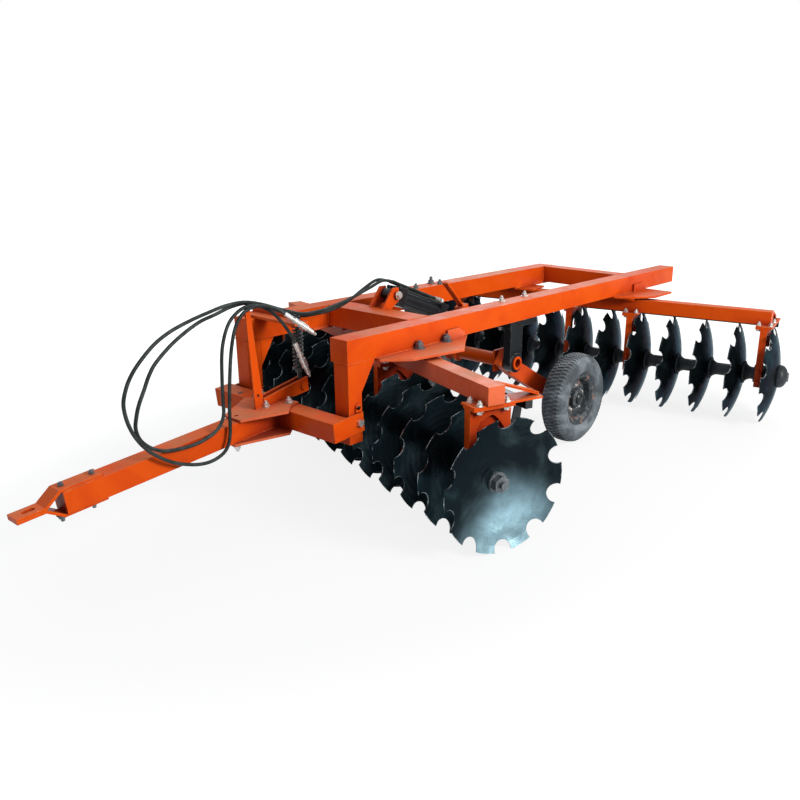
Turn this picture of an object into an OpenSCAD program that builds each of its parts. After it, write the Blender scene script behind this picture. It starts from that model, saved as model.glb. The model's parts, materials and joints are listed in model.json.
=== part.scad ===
// Towed offset disc harrow: two gangs of notched discs under a welded tube frame,
// a pitching drawbar, a pair of transport wheels on a rockshaft and the ram that lowers them.
// Millimetres. +X is the machine's left, -Y is the way it is towed, +Z is up.
// Modules work from the frame's middle plane (X 0), the beams' front ends (Y 0) and the ground (Z 0);
// placed() then moves them so that the origin is on the ground under the middle of the whole machine.

/* [Discs] */
// Disc diameter over the teeth
disc_d = 660; // [610:5:710]
// Disc plate thickness
disc_t = 6; // [5:0.5:8]
// Depth of the dish, from its rim to its flat centre
disc_dish = 70; // [50:1:80]
// Diameter of the flat centre that the spools clamp
disc_flat_d = 164; // [120:1:180]
// Distance between neighbouring discs
disc_pitch = 230; // [215:1:260]
// Discs in each gang
disc_count = 12; // [12:1:14]
// Notches round a disc
notch_count = 10; // [8:2:12]
// Radius of a notch
notch_r = 47; // [30:1:50]
// Distance from a disc's axis to a notch's centre, less than the disc's radius by
notch_inset = 7; // [0:1:12]

/* [Gang axles] */
// Side of the square axle
axle_side = 34; // [28:1:40]
// Radius of a spool's barrel
spool_r = 42.5; // [36:0.5:50]
// Radius of a spool's flange against a disc's back
spool_flange_r = 78; // [60:1:80]
// Length of a spool's flared end
spool_flare_l = 46; // [30:1:50]
// Across corners of the axle nuts
axle_nut_d = 84; // [60:1:100]
// Length of the axle nuts
axle_nut_l = 34; // [20:1:50]
// Length of the domed bell on the outer back of the last disc
bell_l = 56; // [30:1:60]
// Length of the nut on the bell's end
end_nut_l = 10; // [6:1:20]

/* [Gang beams] */
// Width of a gang beam
gang_beam_w = 92; // [80:1:110]
// Height of a gang beam
gang_beam_h = 90; // [80:1:110]
// Gap between the discs' highest point and the gang beams
gang_beam_gap = 23; // [23:1:60]
// Thickness of the angle plates on the gang beams and under the frame
angle_plate_t = 14; // [10:1:20]
// Front gang's angle to straight across
front_toe = 18.4; // [16:0.1:20]
// Rear gang's angle to straight across
rear_toe = 11.5; // [9:0.1:13]
// Front gang's middle, left of the frame's middle plane
front_gang_x = 38; // [0:1:80]
// Front gang's middle, behind the beams' front ends
front_gang_y = 601; // [585:1:620]
// Rear gang's middle, left of the frame's middle plane
rear_gang_x = 212; // [170:1:250]
// Rear gang's middle, behind the beams' front ends
rear_gang_y = 2725; // [2690:1:2760]
// Front gang beam, behind its axle
front_beam_back = 24; // [0:1:30]
// Rear gang beam, behind its axle
rear_beam_back = -9; // [-20:1:20]
// Front gang beam's left end beyond the outer bearing stand's middle
front_beam_over = 66; // [55:1:90]
// Rear gang beam's left end beyond the outer bearing stand's middle
rear_beam_over = 30; // [26:1:60]
// Gang beams' right ends beyond the outer bearing stand's middle
right_beam_over = 60; // [40:1:80]

/* [Bearing stands] */
// Width of a stand along the axle
stand_w = 46; // [40:1:50]
// Depth of a stand across the axle
stand_d = 230; // [220:1:240]
// Depth of a stand's leg
stand_leg_d = 38; // [30:1:40]
// Thickness of a stand's upper plate
stand_plate_t = 10; // [8:1:12]
// Thickness of a stand's lower plate
stand_seat_t = 12; // [8:1:12]
// Length of the stands' plates along the beam
stand_plate_l = 112; // [100:1:120]
// How far a stand's leg reaches below the axle
stand_below = 66; // [60:1:80]
// Outer stands' upper plates, from the beam's middle to their back ends
stand_tail = 276; // [270:1:300]
// Outer radius of a bearing housing
bearing_r = 62; // [56:1:66]
// Length of a bearing housing
bearing_l = 84; // [70:1:90]
// Running clearance in the bearings and pins
running_gap = 0.3; // [0.2:0.05:0.5]

/* [Scrapers] */
// Side of the square scraper bar
scraper_bar = 40; // [30:1:50]
// Scraper bar, behind the gang beam
scraper_back = 130; // [110:1:180]
// Thickness of the scraper arms and blades
scraper_t = 8; // [6:1:10]
// Gap between a scraper and its disc's rim
scraper_gap = 12; // [8:1:20]

/* [Main frame] */
// Side of the square frame tube
frame_tube = 118; // [100:1:130]
// Frame's middle plane to the beams' outer sides
frame_half_w = 435.5; // [420:0.5:450]
// Length of the left beam
left_beam_l = 3540; // [3400:1:3600]
// Front cross member, behind the beams' front ends
front_cross_y = 566; // [560:1:580]
// Width of the front cross member
front_cross_w = 160; // [150:1:170]
// Rear cross member, behind the beams' front ends
rear_cross_y = 2820; // [2800:1:2860]
// Width of a front leg
leg_w = 96; // [80:1:110]
// Depth of a front leg
leg_d = 88; // [84:1:95]
// Length of a front leg below the beam
leg_l = 408; // [380:1:420]
// Height of the angle plates' stop lugs
stop_lug_h = 54; // [40:1:70]
// Thickness of the stop lugs
stop_lug_t = 14; // [10:1:16]

/* [Drawbar] */
// Hitch pivot, behind the beams' front ends
pivot_y = 55; // [50:1:60]
// Hitch pivot, below the beams
pivot_drop = 301; // [280:1:320]
// Drawbar's slope, front end down
drawbar_slope = 5.5; // [0:0.5:7]
// Drawbar's middle, right of the frame's middle plane
drawbar_x = 25; // [0:1:60]
// Side of the square drawbar tube
drawbar_tube_w = 100; // [80:1:110]
// Pivot to the drawbar tube's front end
drawbar_l = 1282; // [1200:1:1300]
// Depth of the drawbar's cross beam
cross_beam_d = 96; // [80:1:100]
// Pivot to the cross beam's back
cross_beam_gap = 74; // [72:1:80]
// Cross beam's right end, from the frame's middle plane
cross_beam_right = 490; // [470:1:520]
// Thickness of the ears that hold the pivot pins
ear_t = 12; // [10:1:16]
// Gap between an ear and its leg
ear_gap = 2; // [1:0.5:6]
// Diameter of the pivot pins
pivot_pin_d = 24; // [20:1:36]
// Thickness of the drawbar's gusset plates and hitch straps
gusset_t = 12; // [10:1:14]
// Width of the hitch straps
strap_w = 84; // [70:1:95]
// Drawbar tube's front end to the hitch tongue's
tongue_reach = 197; // [185:1:240]
// Width of the hitch slot
hitch_slot_w = 26; // [20:1:32]
// Length of the hitch slot
hitch_slot_l = 56; // [40:1:64]
// Height of the hose post above its gusset
post_h = 515; // [450:1:560]

/* [Levelling rod] */
// Diameter of the levelling rod
level_rod_d = 22; // [16:1:26]
// Outer diameter of its spring
spring_d = 60; // [50:1:64]
// Diameter of the spring's wire
spring_wire_d = 9; // [7:0.5:11]
// Turns of the spring
spring_turns = 11; // [8:1:13]

/* [Wheels and rockshaft] */
// Tyre's outer diameter
tyre_d = 570; // [540:5:600]
// Tyre's width
tyre_w = 160; // [140:1:170]
// Rim's diameter
rim_d = 305; // [280:1:320]
// Frame's middle plane to the middle of a wheel
wheel_x = 652; // [640:1:670]
// Wheels, behind the beams' front ends
wheel_y = 1745; // [1720:1:1770]
// Rockshaft, behind the beams' front ends
rockshaft_y = 1400; // [1390:1:1410]
// Rockshaft, below the beams
rockshaft_drop = 258; // [250:1:270]
// Rockshaft's diameter
rockshaft_d = 83; // [76:1:90]
// Half the length of the rockshaft
rockshaft_half_l = 452; // [448:1:470]
// Height of a wheel arm
arm_h = 104; // [90:1:112]
// Width of a wheel arm
arm_w = 50; // [40:1:56]

/* [Ram] */
// Ram's middle, right of the frame's middle plane
ram_x = 50; // [40:1:60]
// Ram's front pin, behind the beams' front ends
ram_pin_y = 802; // [790:1:812]
// Ram's front pin, above the frame
ram_pin_h = 67; // [66:1:80]
// Side of the ram's square caps
ram_cap_w = 112; // [100:1:116]
// Diameter of the ram's barrel
ram_barrel_d = 96; // [80:1:98]
// Ram's front pin to the back of its rear cap
ram_body_l = 470; // [440:1:490]
// Diameter of the ram's rod
ram_rod_d = 50; // [40:1:56]
// Rockshaft's crank, from its axis to the rod's eye
crank_r = 199; // [190:1:205]
// Crank's lean behind upright
crank_lean = 14.5; // [10:0.5:20]
// Diameter of the ram's pins
ram_pin_d = 34; // [28:1:40]

/* [Hoses] */
// Diameter of the hydraulic hoses
hose_d = 17; // [14:1:20]

/* [Hidden] */

paint = [0.86, 0.27, 0.07];
steel_black = [0.10, 0.11, 0.13];
disc_steel = [0.16, 0.19, 0.22];
rubber = [0.09, 0.09, 0.10];
zinc = [0.75, 0.76, 0.76];

// Discs: the notch in the lowest place stands on its two corners
disc_r = disc_d / 2;
notch_c = disc_r - notch_inset;
notch_half = acos((disc_r * disc_r + notch_c * notch_c - notch_r * notch_r) / (2 * disc_r * notch_c));
axle_z = disc_r * cos(notch_half);
dish_c = (disc_r * disc_r + disc_dish * disc_dish - pow(disc_flat_d / 2, 2)) / (2 * disc_dish);
dish_r = sqrt(dish_c * dish_c + pow(disc_flat_d / 2, 2));
// Height of the dish above its flat centre at radius r
function dish(r) = dish_c - sqrt(dish_r * dish_r - r * r);
dish_steps = 7;
rim_edge_t = 2.5;
rim_bevel_l = 12;
square_gap = 0.5;
gang_half = (disc_count - 1) / 2 * disc_pitch;
spool_l = disc_pitch - disc_t;
axle_tip_l = 22;
// A stand is halfway between two hubs, this far from the upper disc's rim plane
stand_shift = disc_pitch / 2 + disc_dish + disc_t / 2;
// Gaps between discs that hold a stand, counted from either end
stand_gaps = [0, 4, disc_count - 6, disc_count - 2];

// Heights
gang_beam_z = axle_z + disc_r + gang_beam_gap;
gang_beam_top = gang_beam_z + gang_beam_h;
frame_z = gang_beam_top + 2 * angle_plate_t;
frame_top = frame_z + frame_tube;
pivot_z = frame_z - pivot_drop;
rockshaft_z = frame_z - rockshaft_drop;
wheel_z = tyre_d / 2;
beam_x = frame_half_w - frame_tube / 2;
right_beam_l = rear_cross_y + frame_tube;

// Origin, halfway between the gang axles' outermost tips and between the hitch and the left beam's end
axle_half = gang_half + disc_dish + disc_t + bell_l + end_nut_l;
origin_x = (rear_gang_x + axle_half * cos(rear_toe) + front_gang_x - axle_half * cos(front_toe)) / 2;
tongue_l = drawbar_l + tongue_reach;
origin_y = (left_beam_l + pivot_y - tongue_l * cos(drawbar_slope)) / 2;

module placed() translate([-origin_x, -origin_y, 0]) children();
module front_gang() translate([front_gang_x, front_gang_y, 0]) rotate([0, 0, -front_toe]) children();
module rear_gang() translate([rear_gang_x, rear_gang_y, 0]) rotate([0, 0, rear_toe]) children();
// Both sides of the frame, the right one mirrored
module both_sides() {
    children();
    mirror([1, 0, 0]) children();
}
module box(lo, hi) translate(lo) cube(hi - lo);
// Bar along X from a to b
module x_rod(r, a, b, fn = 48) translate([a, 0, 0]) rotate([0, 90, 0]) cylinder(r = r, h = b - a, $fn = fn);
// Flat plate in a plane of constant X, its outline given as [y, z]
module x_plate(outline, a, b) translate([a, 0, 0]) rotate([90, 0, 90]) linear_extrude(b - a) polygon(outline);

// ---------------------------------------------------------------- frame
module main_beam(length) box([beam_x - frame_tube / 2, 0, frame_z], [frame_half_w, length, frame_top]);
module main_beam_left() color(paint) main_beam(left_beam_l);
module main_beam_right() color(paint) mirror([1, 0, 0]) main_beam(right_beam_l);
inner_half = frame_half_w - frame_tube;
module cross_members() color(paint) {
    box([-inner_half, front_cross_y, frame_z], [inner_half, front_cross_y + front_cross_w, frame_top]);
    box([-inner_half, rear_cross_y, frame_z], [inner_half, rear_cross_y + frame_tube, frame_top]);
}

leg_gusset_t = 12;
leg_gusset_l = 98;
leg_gusset_h = 157;
module front_leg() difference() {
    union() {
        box([frame_half_w - leg_w, 0, frame_z - leg_l], [frame_half_w, leg_d, frame_z]);
        x_plate([[leg_d - 1, frame_z], [leg_d + leg_gusset_l, frame_z], [leg_d, frame_z - leg_gusset_h],
            [leg_d - 1, frame_z - leg_gusset_h]], frame_half_w - leg_gusset_t, frame_half_w);
    }
    translate([0, pivot_y, pivot_z])
        x_rod(pivot_pin_d / 2 + running_gap, frame_half_w - leg_w - 1, frame_half_w + 1);
}
module front_legs() color(paint) both_sides() front_leg();

// Where a gang beam, back behind its axle, passes under the beam at x
function crossing(gx, gy, slope, back, x) = gy + (x - gx) * slope + back * sqrt(1 + slope * slope);
front_slope = -tan(front_toe);
rear_slope = tan(rear_toe);
// Outlines of the frame's plates as [outward, backward] from the crossing
front_plate = [[-59, -315], [90, -324], [203, -204], [263, 126], [147, 276], [59, 402], [-59, 402]];
rear_plate = [[-59, -150], [59, -150], [180, -60], [273, 60], [273, 330], [59, 330], [-59, 330]];
module angle_plate(outline, lug_a, lug_b) {
    translate([0, 0, frame_z - angle_plate_t]) linear_extrude(angle_plate_t) polygon(outline);
    translate([frame_tube / 2, 0, 0]) x_plate([[lug_a, frame_z], [lug_a, frame_z + stop_lug_h],
        [lug_b - 50, frame_z + stop_lug_h], [lug_b, frame_z + stop_lug_h * 0.4], [lug_b, frame_z]],
        0, stop_lug_t);
}
front_lug = [217, 365];
rear_lug = [118, 300];
module angle_plates(gx, gy, slope, back, outline, lug) for (side = [1, -1])
    translate([side * beam_x, crossing(gx, gy, slope, back, side * beam_x), 0])
        mirror([side < 0 ? 1 : 0, 0, 0]) angle_plate(outline, lug[0], lug[1]);
module front_angle_plates() color(paint)
    angle_plates(front_gang_x, front_gang_y, front_slope, front_beam_back, front_plate, front_lug);
module rear_angle_plates() color(paint)
    angle_plates(rear_gang_x, rear_gang_y, rear_slope, rear_beam_back, rear_plate, rear_lug);

// ---------------------------------------------------------------- gangs
// side is 1 where the discs open to +X and -1 where they open to -X
module gang_rotor(side) mirror([side > 0 ? 0 : 1, 0, 0]) translate([0, 0, axle_z]) children();
function disc_at(i) = i * disc_pitch - gang_half;
// One disc, its rim plane at X 0, open to +X
disc_face = [for (k = [0:dish_steps]) let (r = disc_flat_d / 2 + k / dish_steps * (disc_r - disc_flat_d / 2))
    [r, dish(r) - disc_dish]];
bevel_r = disc_r - rim_bevel_l;
disc_back = [for (k = [0:dish_steps - 1])
    let (r = disc_flat_d / 2 + k / dish_steps * (disc_r - disc_flat_d / 2)) [r, dish(r) - disc_dish - disc_t]];
disc_rim = [[disc_r, -rim_edge_t], [bevel_r, dish(bevel_r) - disc_dish - disc_t]];
function reversed(list) = [for (k = [len(list) - 1:-1:0]) list[k]];
disc_profile = concat([[0, -disc_dish]], disc_face, disc_rim, reversed(disc_back),
    [[0, -disc_dish - disc_t]]);
module disc() rotate([0, 90, 0]) difference() {
    rotate_extrude($fn = 96) polygon(disc_profile);
    for (k = [0:notch_count - 1]) rotate(k * 360 / notch_count)
        translate([notch_c, 0, -disc_dish]) cylinder(r = notch_r, h = 2 * disc_dish, $fn = 32);
    cube([axle_side + square_gap, axle_side + square_gap, 4 * disc_dish], center = true);
}
module gang_discs() for (i = [0:disc_count - 1]) translate([disc_at(i), 0, 0]) disc();

// One spool from a disc's back to the next disc's hollow face, flared end at X 0, along -X
spool_foot_r = 54;
spool_foot_l = 10;
spool_profile = [[0, 0], [spool_flange_r, 0], [spool_flange_r, -9], [spool_flange_r * 0.8, -15],
    [spool_r + 8, -0.6 * spool_flare_l], [spool_r, -spool_flare_l], [spool_r, -spool_l + 2 * spool_foot_l],
    [spool_foot_r, -spool_l + spool_foot_l], [spool_foot_r, -spool_l], [0, -spool_l]];
module spool() rotate([0, 90, 0]) difference() {
    rotate_extrude($fn = 48) polygon(spool_profile);
    cube([axle_side + square_gap, axle_side + square_gap, 3 * spool_l], center = true);
}
// Domed bell on the last disc's back, along -X from X 0: a short rim, then a quarter of an ellipse
bell_rim = 0.2;
bell_flat_r = 34;
bell_steps = 8;
bell_end = acos(bell_flat_r / spool_flange_r);
bell_dome = [for (k = [0:bell_steps]) let (t = bell_end * k / bell_steps)
    [spool_flange_r * cos(t), -bell_l * (bell_rim + (1 - bell_rim) * sin(t) / sin(bell_end))]];
bell_profile = concat([[0, 0], [spool_flange_r, 0]], bell_dome, [[0, -bell_l]]);
module bell() rotate([0, 90, 0]) difference() {
    rotate_extrude($fn = 48) polygon(bell_profile);
    cube([axle_side + square_gap, axle_side + square_gap, 4 * bell_l], center = true);
}
// X of the back of disc i's flat centre
function back_at(i) = disc_at(i) - disc_dish - disc_t;
module gang_spools() {
    for (i = [1:disc_count - 1]) translate([back_at(i), 0, 0]) spool();
    translate([back_at(0), 0, 0]) bell();
}
axle_washer_r = 50;
axle_washer_l = 12;
module gang_axle() {
    low = back_at(0) - bell_l;
    high = disc_at(disc_count - 1) - disc_dish;
    box([low - 1, -axle_side / 2, -axle_side / 2],
        [high + axle_washer_l + axle_nut_l, axle_side / 2, axle_side / 2]);
    x_rod(axle_washer_r, high, high + axle_washer_l);
    x_rod(axle_nut_d / 2, high + axle_washer_l, high + axle_washer_l + axle_nut_l, 6);
    x_rod(axle_side * 0.55, high + axle_washer_l + axle_nut_l, high + axle_washer_l + axle_nut_l + axle_tip_l);
    x_rod(bell_flat_r - 2, low - end_nut_l, low, 6);
}
module front_gang_discs() color(disc_steel) front_gang() gang_rotor(1) gang_discs();
module rear_gang_discs() color(disc_steel) rear_gang() gang_rotor(-1) gang_discs();
module front_gang_spools() color(steel_black) front_gang() gang_rotor(1) gang_spools();
module rear_gang_spools() color(steel_black) rear_gang() gang_rotor(-1) gang_spools();
module front_gang_axle() color(steel_black) front_gang() gang_rotor(1) gang_axle();
module rear_gang_axle() color(steel_black) rear_gang() gang_rotor(-1) gang_axle();

// Stand in gap g, counted from the left; side as for gang_rotor
function stand_x(g, side) = gang_half - g * disc_pitch - disc_pitch / 2 - side * (stand_shift - disc_pitch / 2);
// X of the rim that passes under a stand's plates, from the stand's middle
function rim_x(side) = -side * (disc_pitch - stand_shift);
seat_rim_gap = 8;
module stand_seat(side) {
    near = abs(rim_x(1)) - seat_rim_gap;
    box([side > 0 ? -near : -stand_plate_l / 2, -stand_d / 2, gang_beam_z - stand_plate_t - stand_seat_t],
        [side > 0 ? stand_plate_l / 2 : near, stand_d / 2, gang_beam_z - stand_plate_t]);
}
// Arch of a stand seen along the axle, as [y, z] from the beam's middle
leg_back = -stand_d / 2 + stand_leg_d;
module stand_arch() {
    top = gang_beam_z - stand_plate_t - stand_seat_t;
    h = stand_d / 2;
    x_plate([[-h, axle_z - stand_below], [leg_back, axle_z - stand_below], [leg_back, top - 95],
        [leg_back + 20, top - 62], [leg_back + 55, top - 43], [10, top - 36], [-leg_back - 42, top - 52],
        [-leg_back, top - 105], [-leg_back, top - 150], [h, top - 150], [h, top], [-h, top]],
        -stand_w / 2, stand_w / 2);
}
// Bearing housing and the block that bolts it to the back of its stand's leg
module bearing(back) difference() {
    union() {
        translate([0, -back, axle_z]) x_rod(bearing_r, -bearing_l / 2, bearing_l / 2);
        box([-stand_w / 2, leg_back - 1, axle_z - bearing_r * 0.8], [stand_w / 2, -back, axle_z + bearing_r * 0.8]);
    }
    translate([0, -back, axle_z]) x_rod(spool_r + running_gap, -bearing_l, bearing_l);
    box([-bearing_l, leg_back - 2 * bearing_r, 0], [bearing_l, leg_back, 2 * axle_z]);
}
module bearings(side, back) translate([0, back, 0]) for (g = stand_gaps)
    translate([stand_x(g, side), 0, 0]) bearing(back);
module gang_bearings() color(steel_black) {
    front_gang() bearings(1, front_beam_back);
    rear_gang() bearings(-1, rear_beam_back);
}
// The outer stands' upper plates run on behind the beam, with a flat stay down to their ends
stay_w = 50;
stay_t = 10;
module stands(side, back) translate([0, back, 0]) for (k = [0:3]) {
    g = stand_gaps[k];
    outer = k == 0 || k == 3;
    translate([stand_x(g, side), 0, 0]) {
        stand_arch();
        stand_seat(side);
        box([-stand_plate_l / 2, -stand_d / 2, gang_beam_z - stand_plate_t],
            [stand_plate_l / 2, outer ? stand_tail : stand_d / 2, gang_beam_z]);
        if (outer)
            x_plate([[gang_beam_w / 2, gang_beam_top - stay_t], [gang_beam_w / 2, gang_beam_top],
                [stand_tail, gang_beam_z + stay_t], [stand_tail, gang_beam_z - 1], [stand_tail - 4, gang_beam_z - 1]],
                -stay_w / 2, stay_w / 2);
    }
}
module front_gang_stands() color(paint) front_gang() stands(1, front_beam_back);
module rear_gang_stands() color(paint) rear_gang() stands(-1, rear_beam_back);

gang_plate_l = 300;
gang_plate_w = 210;
// A gang's beam with the plates that bolt to the frame's; xs are the crossings along it
module gang_beam(side, back, over, xs) translate([0, back, 0]) {
    box([stand_x(disc_count - 2, side) - right_beam_over, -gang_beam_w / 2, gang_beam_z],
        [stand_x(0, side) + over, gang_beam_w / 2, gang_beam_top]);
    for (x = xs) translate([x, 0, gang_beam_top])
        box([-gang_plate_l / 2, -gang_plate_w / 2, 0], [gang_plate_l / 2, gang_plate_w / 2, angle_plate_t]);
}
// Distance along a gang from its middle to where it passes under x
function along(gx, toe, x) = (x - gx) / cos(toe);
module front_gang_beam() color(paint) front_gang() gang_beam(1, front_beam_back, front_beam_over,
    [for (x = [beam_x, -beam_x]) along(front_gang_x, front_toe, x) + front_beam_back * tan(front_toe)]);
module rear_gang_beam() color(paint) rear_gang() gang_beam(-1, rear_beam_back, rear_beam_over,
    [for (x = [beam_x, -beam_x]) along(rear_gang_x, rear_toe, x) - rear_beam_back * tan(rear_toe)]);

// ---------------------------------------------------------------- scrapers
// One arm and blade in a plane across the axle, hung from the bar
scraper_z = gang_beam_z - stand_plate_t - scraper_bar;
scraper_l = 170;
scraper_lean = 60;
scraper_neck = 70;
module scraper(y) x_plate([[y - 5, scraper_z], [y + scraper_bar, scraper_z],
    [y + scraper_bar - 10, scraper_z - scraper_lean], [y + 10, scraper_z - scraper_l],
    [y - scraper_lean, scraper_z - scraper_l + 20], [y - 20, scraper_z - scraper_neck]], 0, scraper_t);
module scrapers(side, back) translate([0, back, 0]) {
    y = gang_beam_w / 2 + scraper_back;
    box([stand_x(disc_count - 2, side) - stand_plate_l / 2, y, scraper_z],
        [stand_x(0, side) + stand_plate_l / 2, y + scraper_bar, scraper_z + scraper_bar]);
    for (i = [0:disc_count - 2]) translate([side * (disc_at(i) + scraper_gap) - (side > 0 ? 0 : scraper_t), 0, 0])
        scraper(y);
}
module front_scrapers() color(steel_black) front_gang() scrapers(1, front_beam_back);
module rear_scrapers() color(steel_black) rear_gang() scrapers(-1, rear_beam_back);

// ---------------------------------------------------------------- rockshaft and wheels
hanger_plate_h = 36;
hanger_plate_l = 278;
hanger_x = [385, 435];
hanger_boss_r = 60;
hanger_front = 63;
module rockshaft_hanger() difference() {
    union() {
        box([hanger_x[0] - 50, rockshaft_y - hanger_front, frame_z - hanger_plate_h],
            [hanger_x[1], rockshaft_y - hanger_front + hanger_plate_l, frame_z]);
        x_plate([[rockshaft_y - 58, frame_z - hanger_plate_h + 1], [rockshaft_y - hanger_boss_r, rockshaft_z],
            [rockshaft_y + hanger_boss_r, rockshaft_z], [rockshaft_y + 66, frame_z - hanger_plate_h + 1]],
            hanger_x[0], hanger_x[1]);
        translate([0, rockshaft_y, rockshaft_z]) x_rod(hanger_boss_r, hanger_x[0], hanger_x[1] + 6);
    }
    translate([0, rockshaft_y, rockshaft_z]) x_rod(rockshaft_d / 2 + running_gap, hanger_x[0] - 60, hanger_x[1] + 60);
}
module rockshaft_hangers() color(steel_black) both_sides() rockshaft_hanger();

module at_rockshaft() translate([0, rockshaft_y, rockshaft_z]) children();
rockshaft_wall = 14;
arm_plate_x = [300, 312];
arm_plate_y = 52;
arm_plate_z = 67;
module arm_plate() x_plate([[-arm_plate_y, -arm_plate_z], [arm_plate_y, -arm_plate_z], [arm_plate_y, arm_plate_z],
    [-arm_plate_y, arm_plate_z]], arm_plate_x[0], arm_plate_x[1]);
module rockshaft_tube() color(paint) at_rockshaft() difference() {
    union() {
        x_rod(rockshaft_d / 2, -rockshaft_half_l, rockshaft_half_l);
        both_sides() arm_plate();
    }
    for (side = [1, -1]) mirror([side > 0 ? 0 : 1, 0, 0])
        x_rod(rockshaft_d / 2 - rockshaft_wall, rockshaft_half_l - 60, rockshaft_half_l + 1);
}
arm_l = sqrt(pow(wheel_y - rockshaft_y, 2) + pow(rockshaft_z - wheel_z, 2));
arm_fall = atan2(rockshaft_z - wheel_z, wheel_y - rockshaft_y);
arm_in_x = 350;
arm_out_x = 462;
arm_end_l = 48;
spindle_r = 24;
hub_x = wheel_x - 52;
// Plan of an arm as [along, x]
arm_plan = [[-56, arm_in_x - arm_w / 2], [100, arm_in_x - arm_w / 2], [arm_l - 60, arm_out_x - arm_w / 2],
    [arm_l + arm_end_l, arm_out_x - arm_w / 2], [arm_l + arm_end_l, arm_out_x + arm_w / 2],
    [arm_l - 60, arm_out_x + arm_w / 2], [100, arm_in_x + arm_w / 2], [-56, arm_in_x + arm_w / 2]];
module wheel_arm() difference() {
    union() {
        at_rockshaft() rotate([-arm_fall, 0, 0]) translate([0, 0, -arm_h / 2]) mirror([1, 0, 0]) rotate([0, 0, 90])
            linear_extrude(arm_h) polygon(arm_plan);
        translate([0, wheel_y, wheel_z]) x_rod(spindle_r + 14, arm_out_x + arm_w / 2 - 1, hub_x - 30);
        translate([0, wheel_y, wheel_z]) x_rod(spindle_r, arm_out_x, wheel_x + 40);
    }
    at_rockshaft() x_rod(rockshaft_d / 2, 0, rockshaft_half_l);
}
module wheel_arms() color(paint) both_sides() wheel_arm();

crank_plate_t = 16;
crank_gap = 56;
// Rod's eye, from the rockshaft
eye_y = crank_r * sin(crank_lean);
eye_z = crank_r * cos(crank_lean);
module rockshaft_crank() color(paint) translate([-ram_x, 0, 0]) at_rockshaft() difference() {
    for (side = [1, -1]) translate([side * (crank_gap + crank_plate_t) / 2 - crank_plate_t / 2, 0, 0]) {
        rotate([-crank_lean, 0, 0]) {
            x_plate([[-52, 0], [52, 0], [36, crank_r], [-36, crank_r]], 0, crank_plate_t);
            translate([0, 0, crank_r]) x_rod(36, 0, crank_plate_t);
            translate([0, 0, crank_r]) x_rod(ram_pin_d / 2, side > 0 ? 0 : -12, crank_plate_t + (side > 0 ? 12 : 0));
            x_rod(60, 0, crank_plate_t);
        }
    }
    x_rod(rockshaft_d / 2, -crank_gap, crank_gap);
}

rim_wall = 8;
rim_bead_r = rim_d / 2 + 14;
rim_half_w = tyre_w * 0.36;
hub_r = 58;
rim_bore = spindle_r + running_gap;
rim_profile = [[rim_bore, -62], [hub_r, -62], [hub_r, -18], [rim_d / 2 - 44, -8], [rim_d / 2 - 24, -rim_half_w + 14],
    [rim_d / 2 - 12, -rim_half_w + 2], [rim_bead_r, -rim_half_w - 6], [rim_bead_r, -rim_half_w],
    [rim_d / 2, -rim_half_w + 8], [rim_d / 2, rim_half_w - 8], [rim_bead_r, rim_half_w],
    [rim_bead_r, rim_half_w + 6], [rim_d / 2 - 12, rim_half_w - 2], [rim_d / 2 - 24, rim_half_w - 16],
    [rim_d / 2 - 30, 4], [hub_r, 4], [hub_r, 34], [hub_r - 16, 42], [rim_bore, 42]];
tyre_half = tyre_w / 2;
tyre_r = tyre_d / 2;
tyre_profile = [[rim_d / 2, -rim_half_w + 8.5], [rim_bead_r, -rim_half_w + 0.5], [rim_bead_r + 6, -rim_half_w - 8],
    [rim_d / 2 + 32, -tyre_half + 5], [rim_d / 2 + 62, -tyre_half], [tyre_r - 42, -tyre_half + 4],
    [tyre_r - 16, -tyre_half + 15], [tyre_r - 5, -tyre_half + 30], [tyre_r, -30], [tyre_r, 30],
    [tyre_r - 5, tyre_half - 30], [tyre_r - 16, tyre_half - 15], [tyre_r - 42, tyre_half - 4],
    [rim_d / 2 + 62, tyre_half], [rim_d / 2 + 32, tyre_half - 5], [rim_bead_r + 6, rim_half_w + 8],
    [rim_bead_r, rim_half_w - 0.5], [rim_d / 2, rim_half_w - 8.5]];
module revolved_wheel(profile) translate([wheel_x, wheel_y, wheel_z]) rotate([0, 90, 0])
    rotate_extrude($fn = 72) polygon(profile);
module wheel_rim_left() color(paint) revolved_wheel(rim_profile);
module wheel_rim_right() color(paint) mirror([1, 0, 0]) revolved_wheel(rim_profile);
module tyre_left() color(rubber) revolved_wheel(tyre_profile);
module tyre_right() color(rubber) mirror([1, 0, 0]) revolved_wheel(tyre_profile);

// ---------------------------------------------------------------- ram
ram_pin_z = frame_top + ram_pin_h;
lug_t = 12;
lug_gap = 88;
module ram_lugs() color(paint) {
    for (side = [1, -1]) translate([-ram_x, 0, 0]) mirror([side > 0 ? 0 : 1, 0, 0])
        x_plate([[front_cross_y + front_cross_w - 40, frame_top], [ram_pin_y - 30, ram_pin_z + 42],
            [ram_pin_y + 16, ram_pin_z + 42], [ram_pin_y + 22, ram_pin_z - 30],
            [front_cross_y + front_cross_w, frame_top - 30], [front_cross_y + front_cross_w, frame_top]],
            lug_gap / 2, lug_gap / 2 + lug_t);
    translate([-ram_x, ram_pin_y, ram_pin_z]) x_rod(ram_pin_d / 2, -lug_gap / 2 - lug_t - 14, lug_gap / 2 + lug_t + 14);
}
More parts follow.
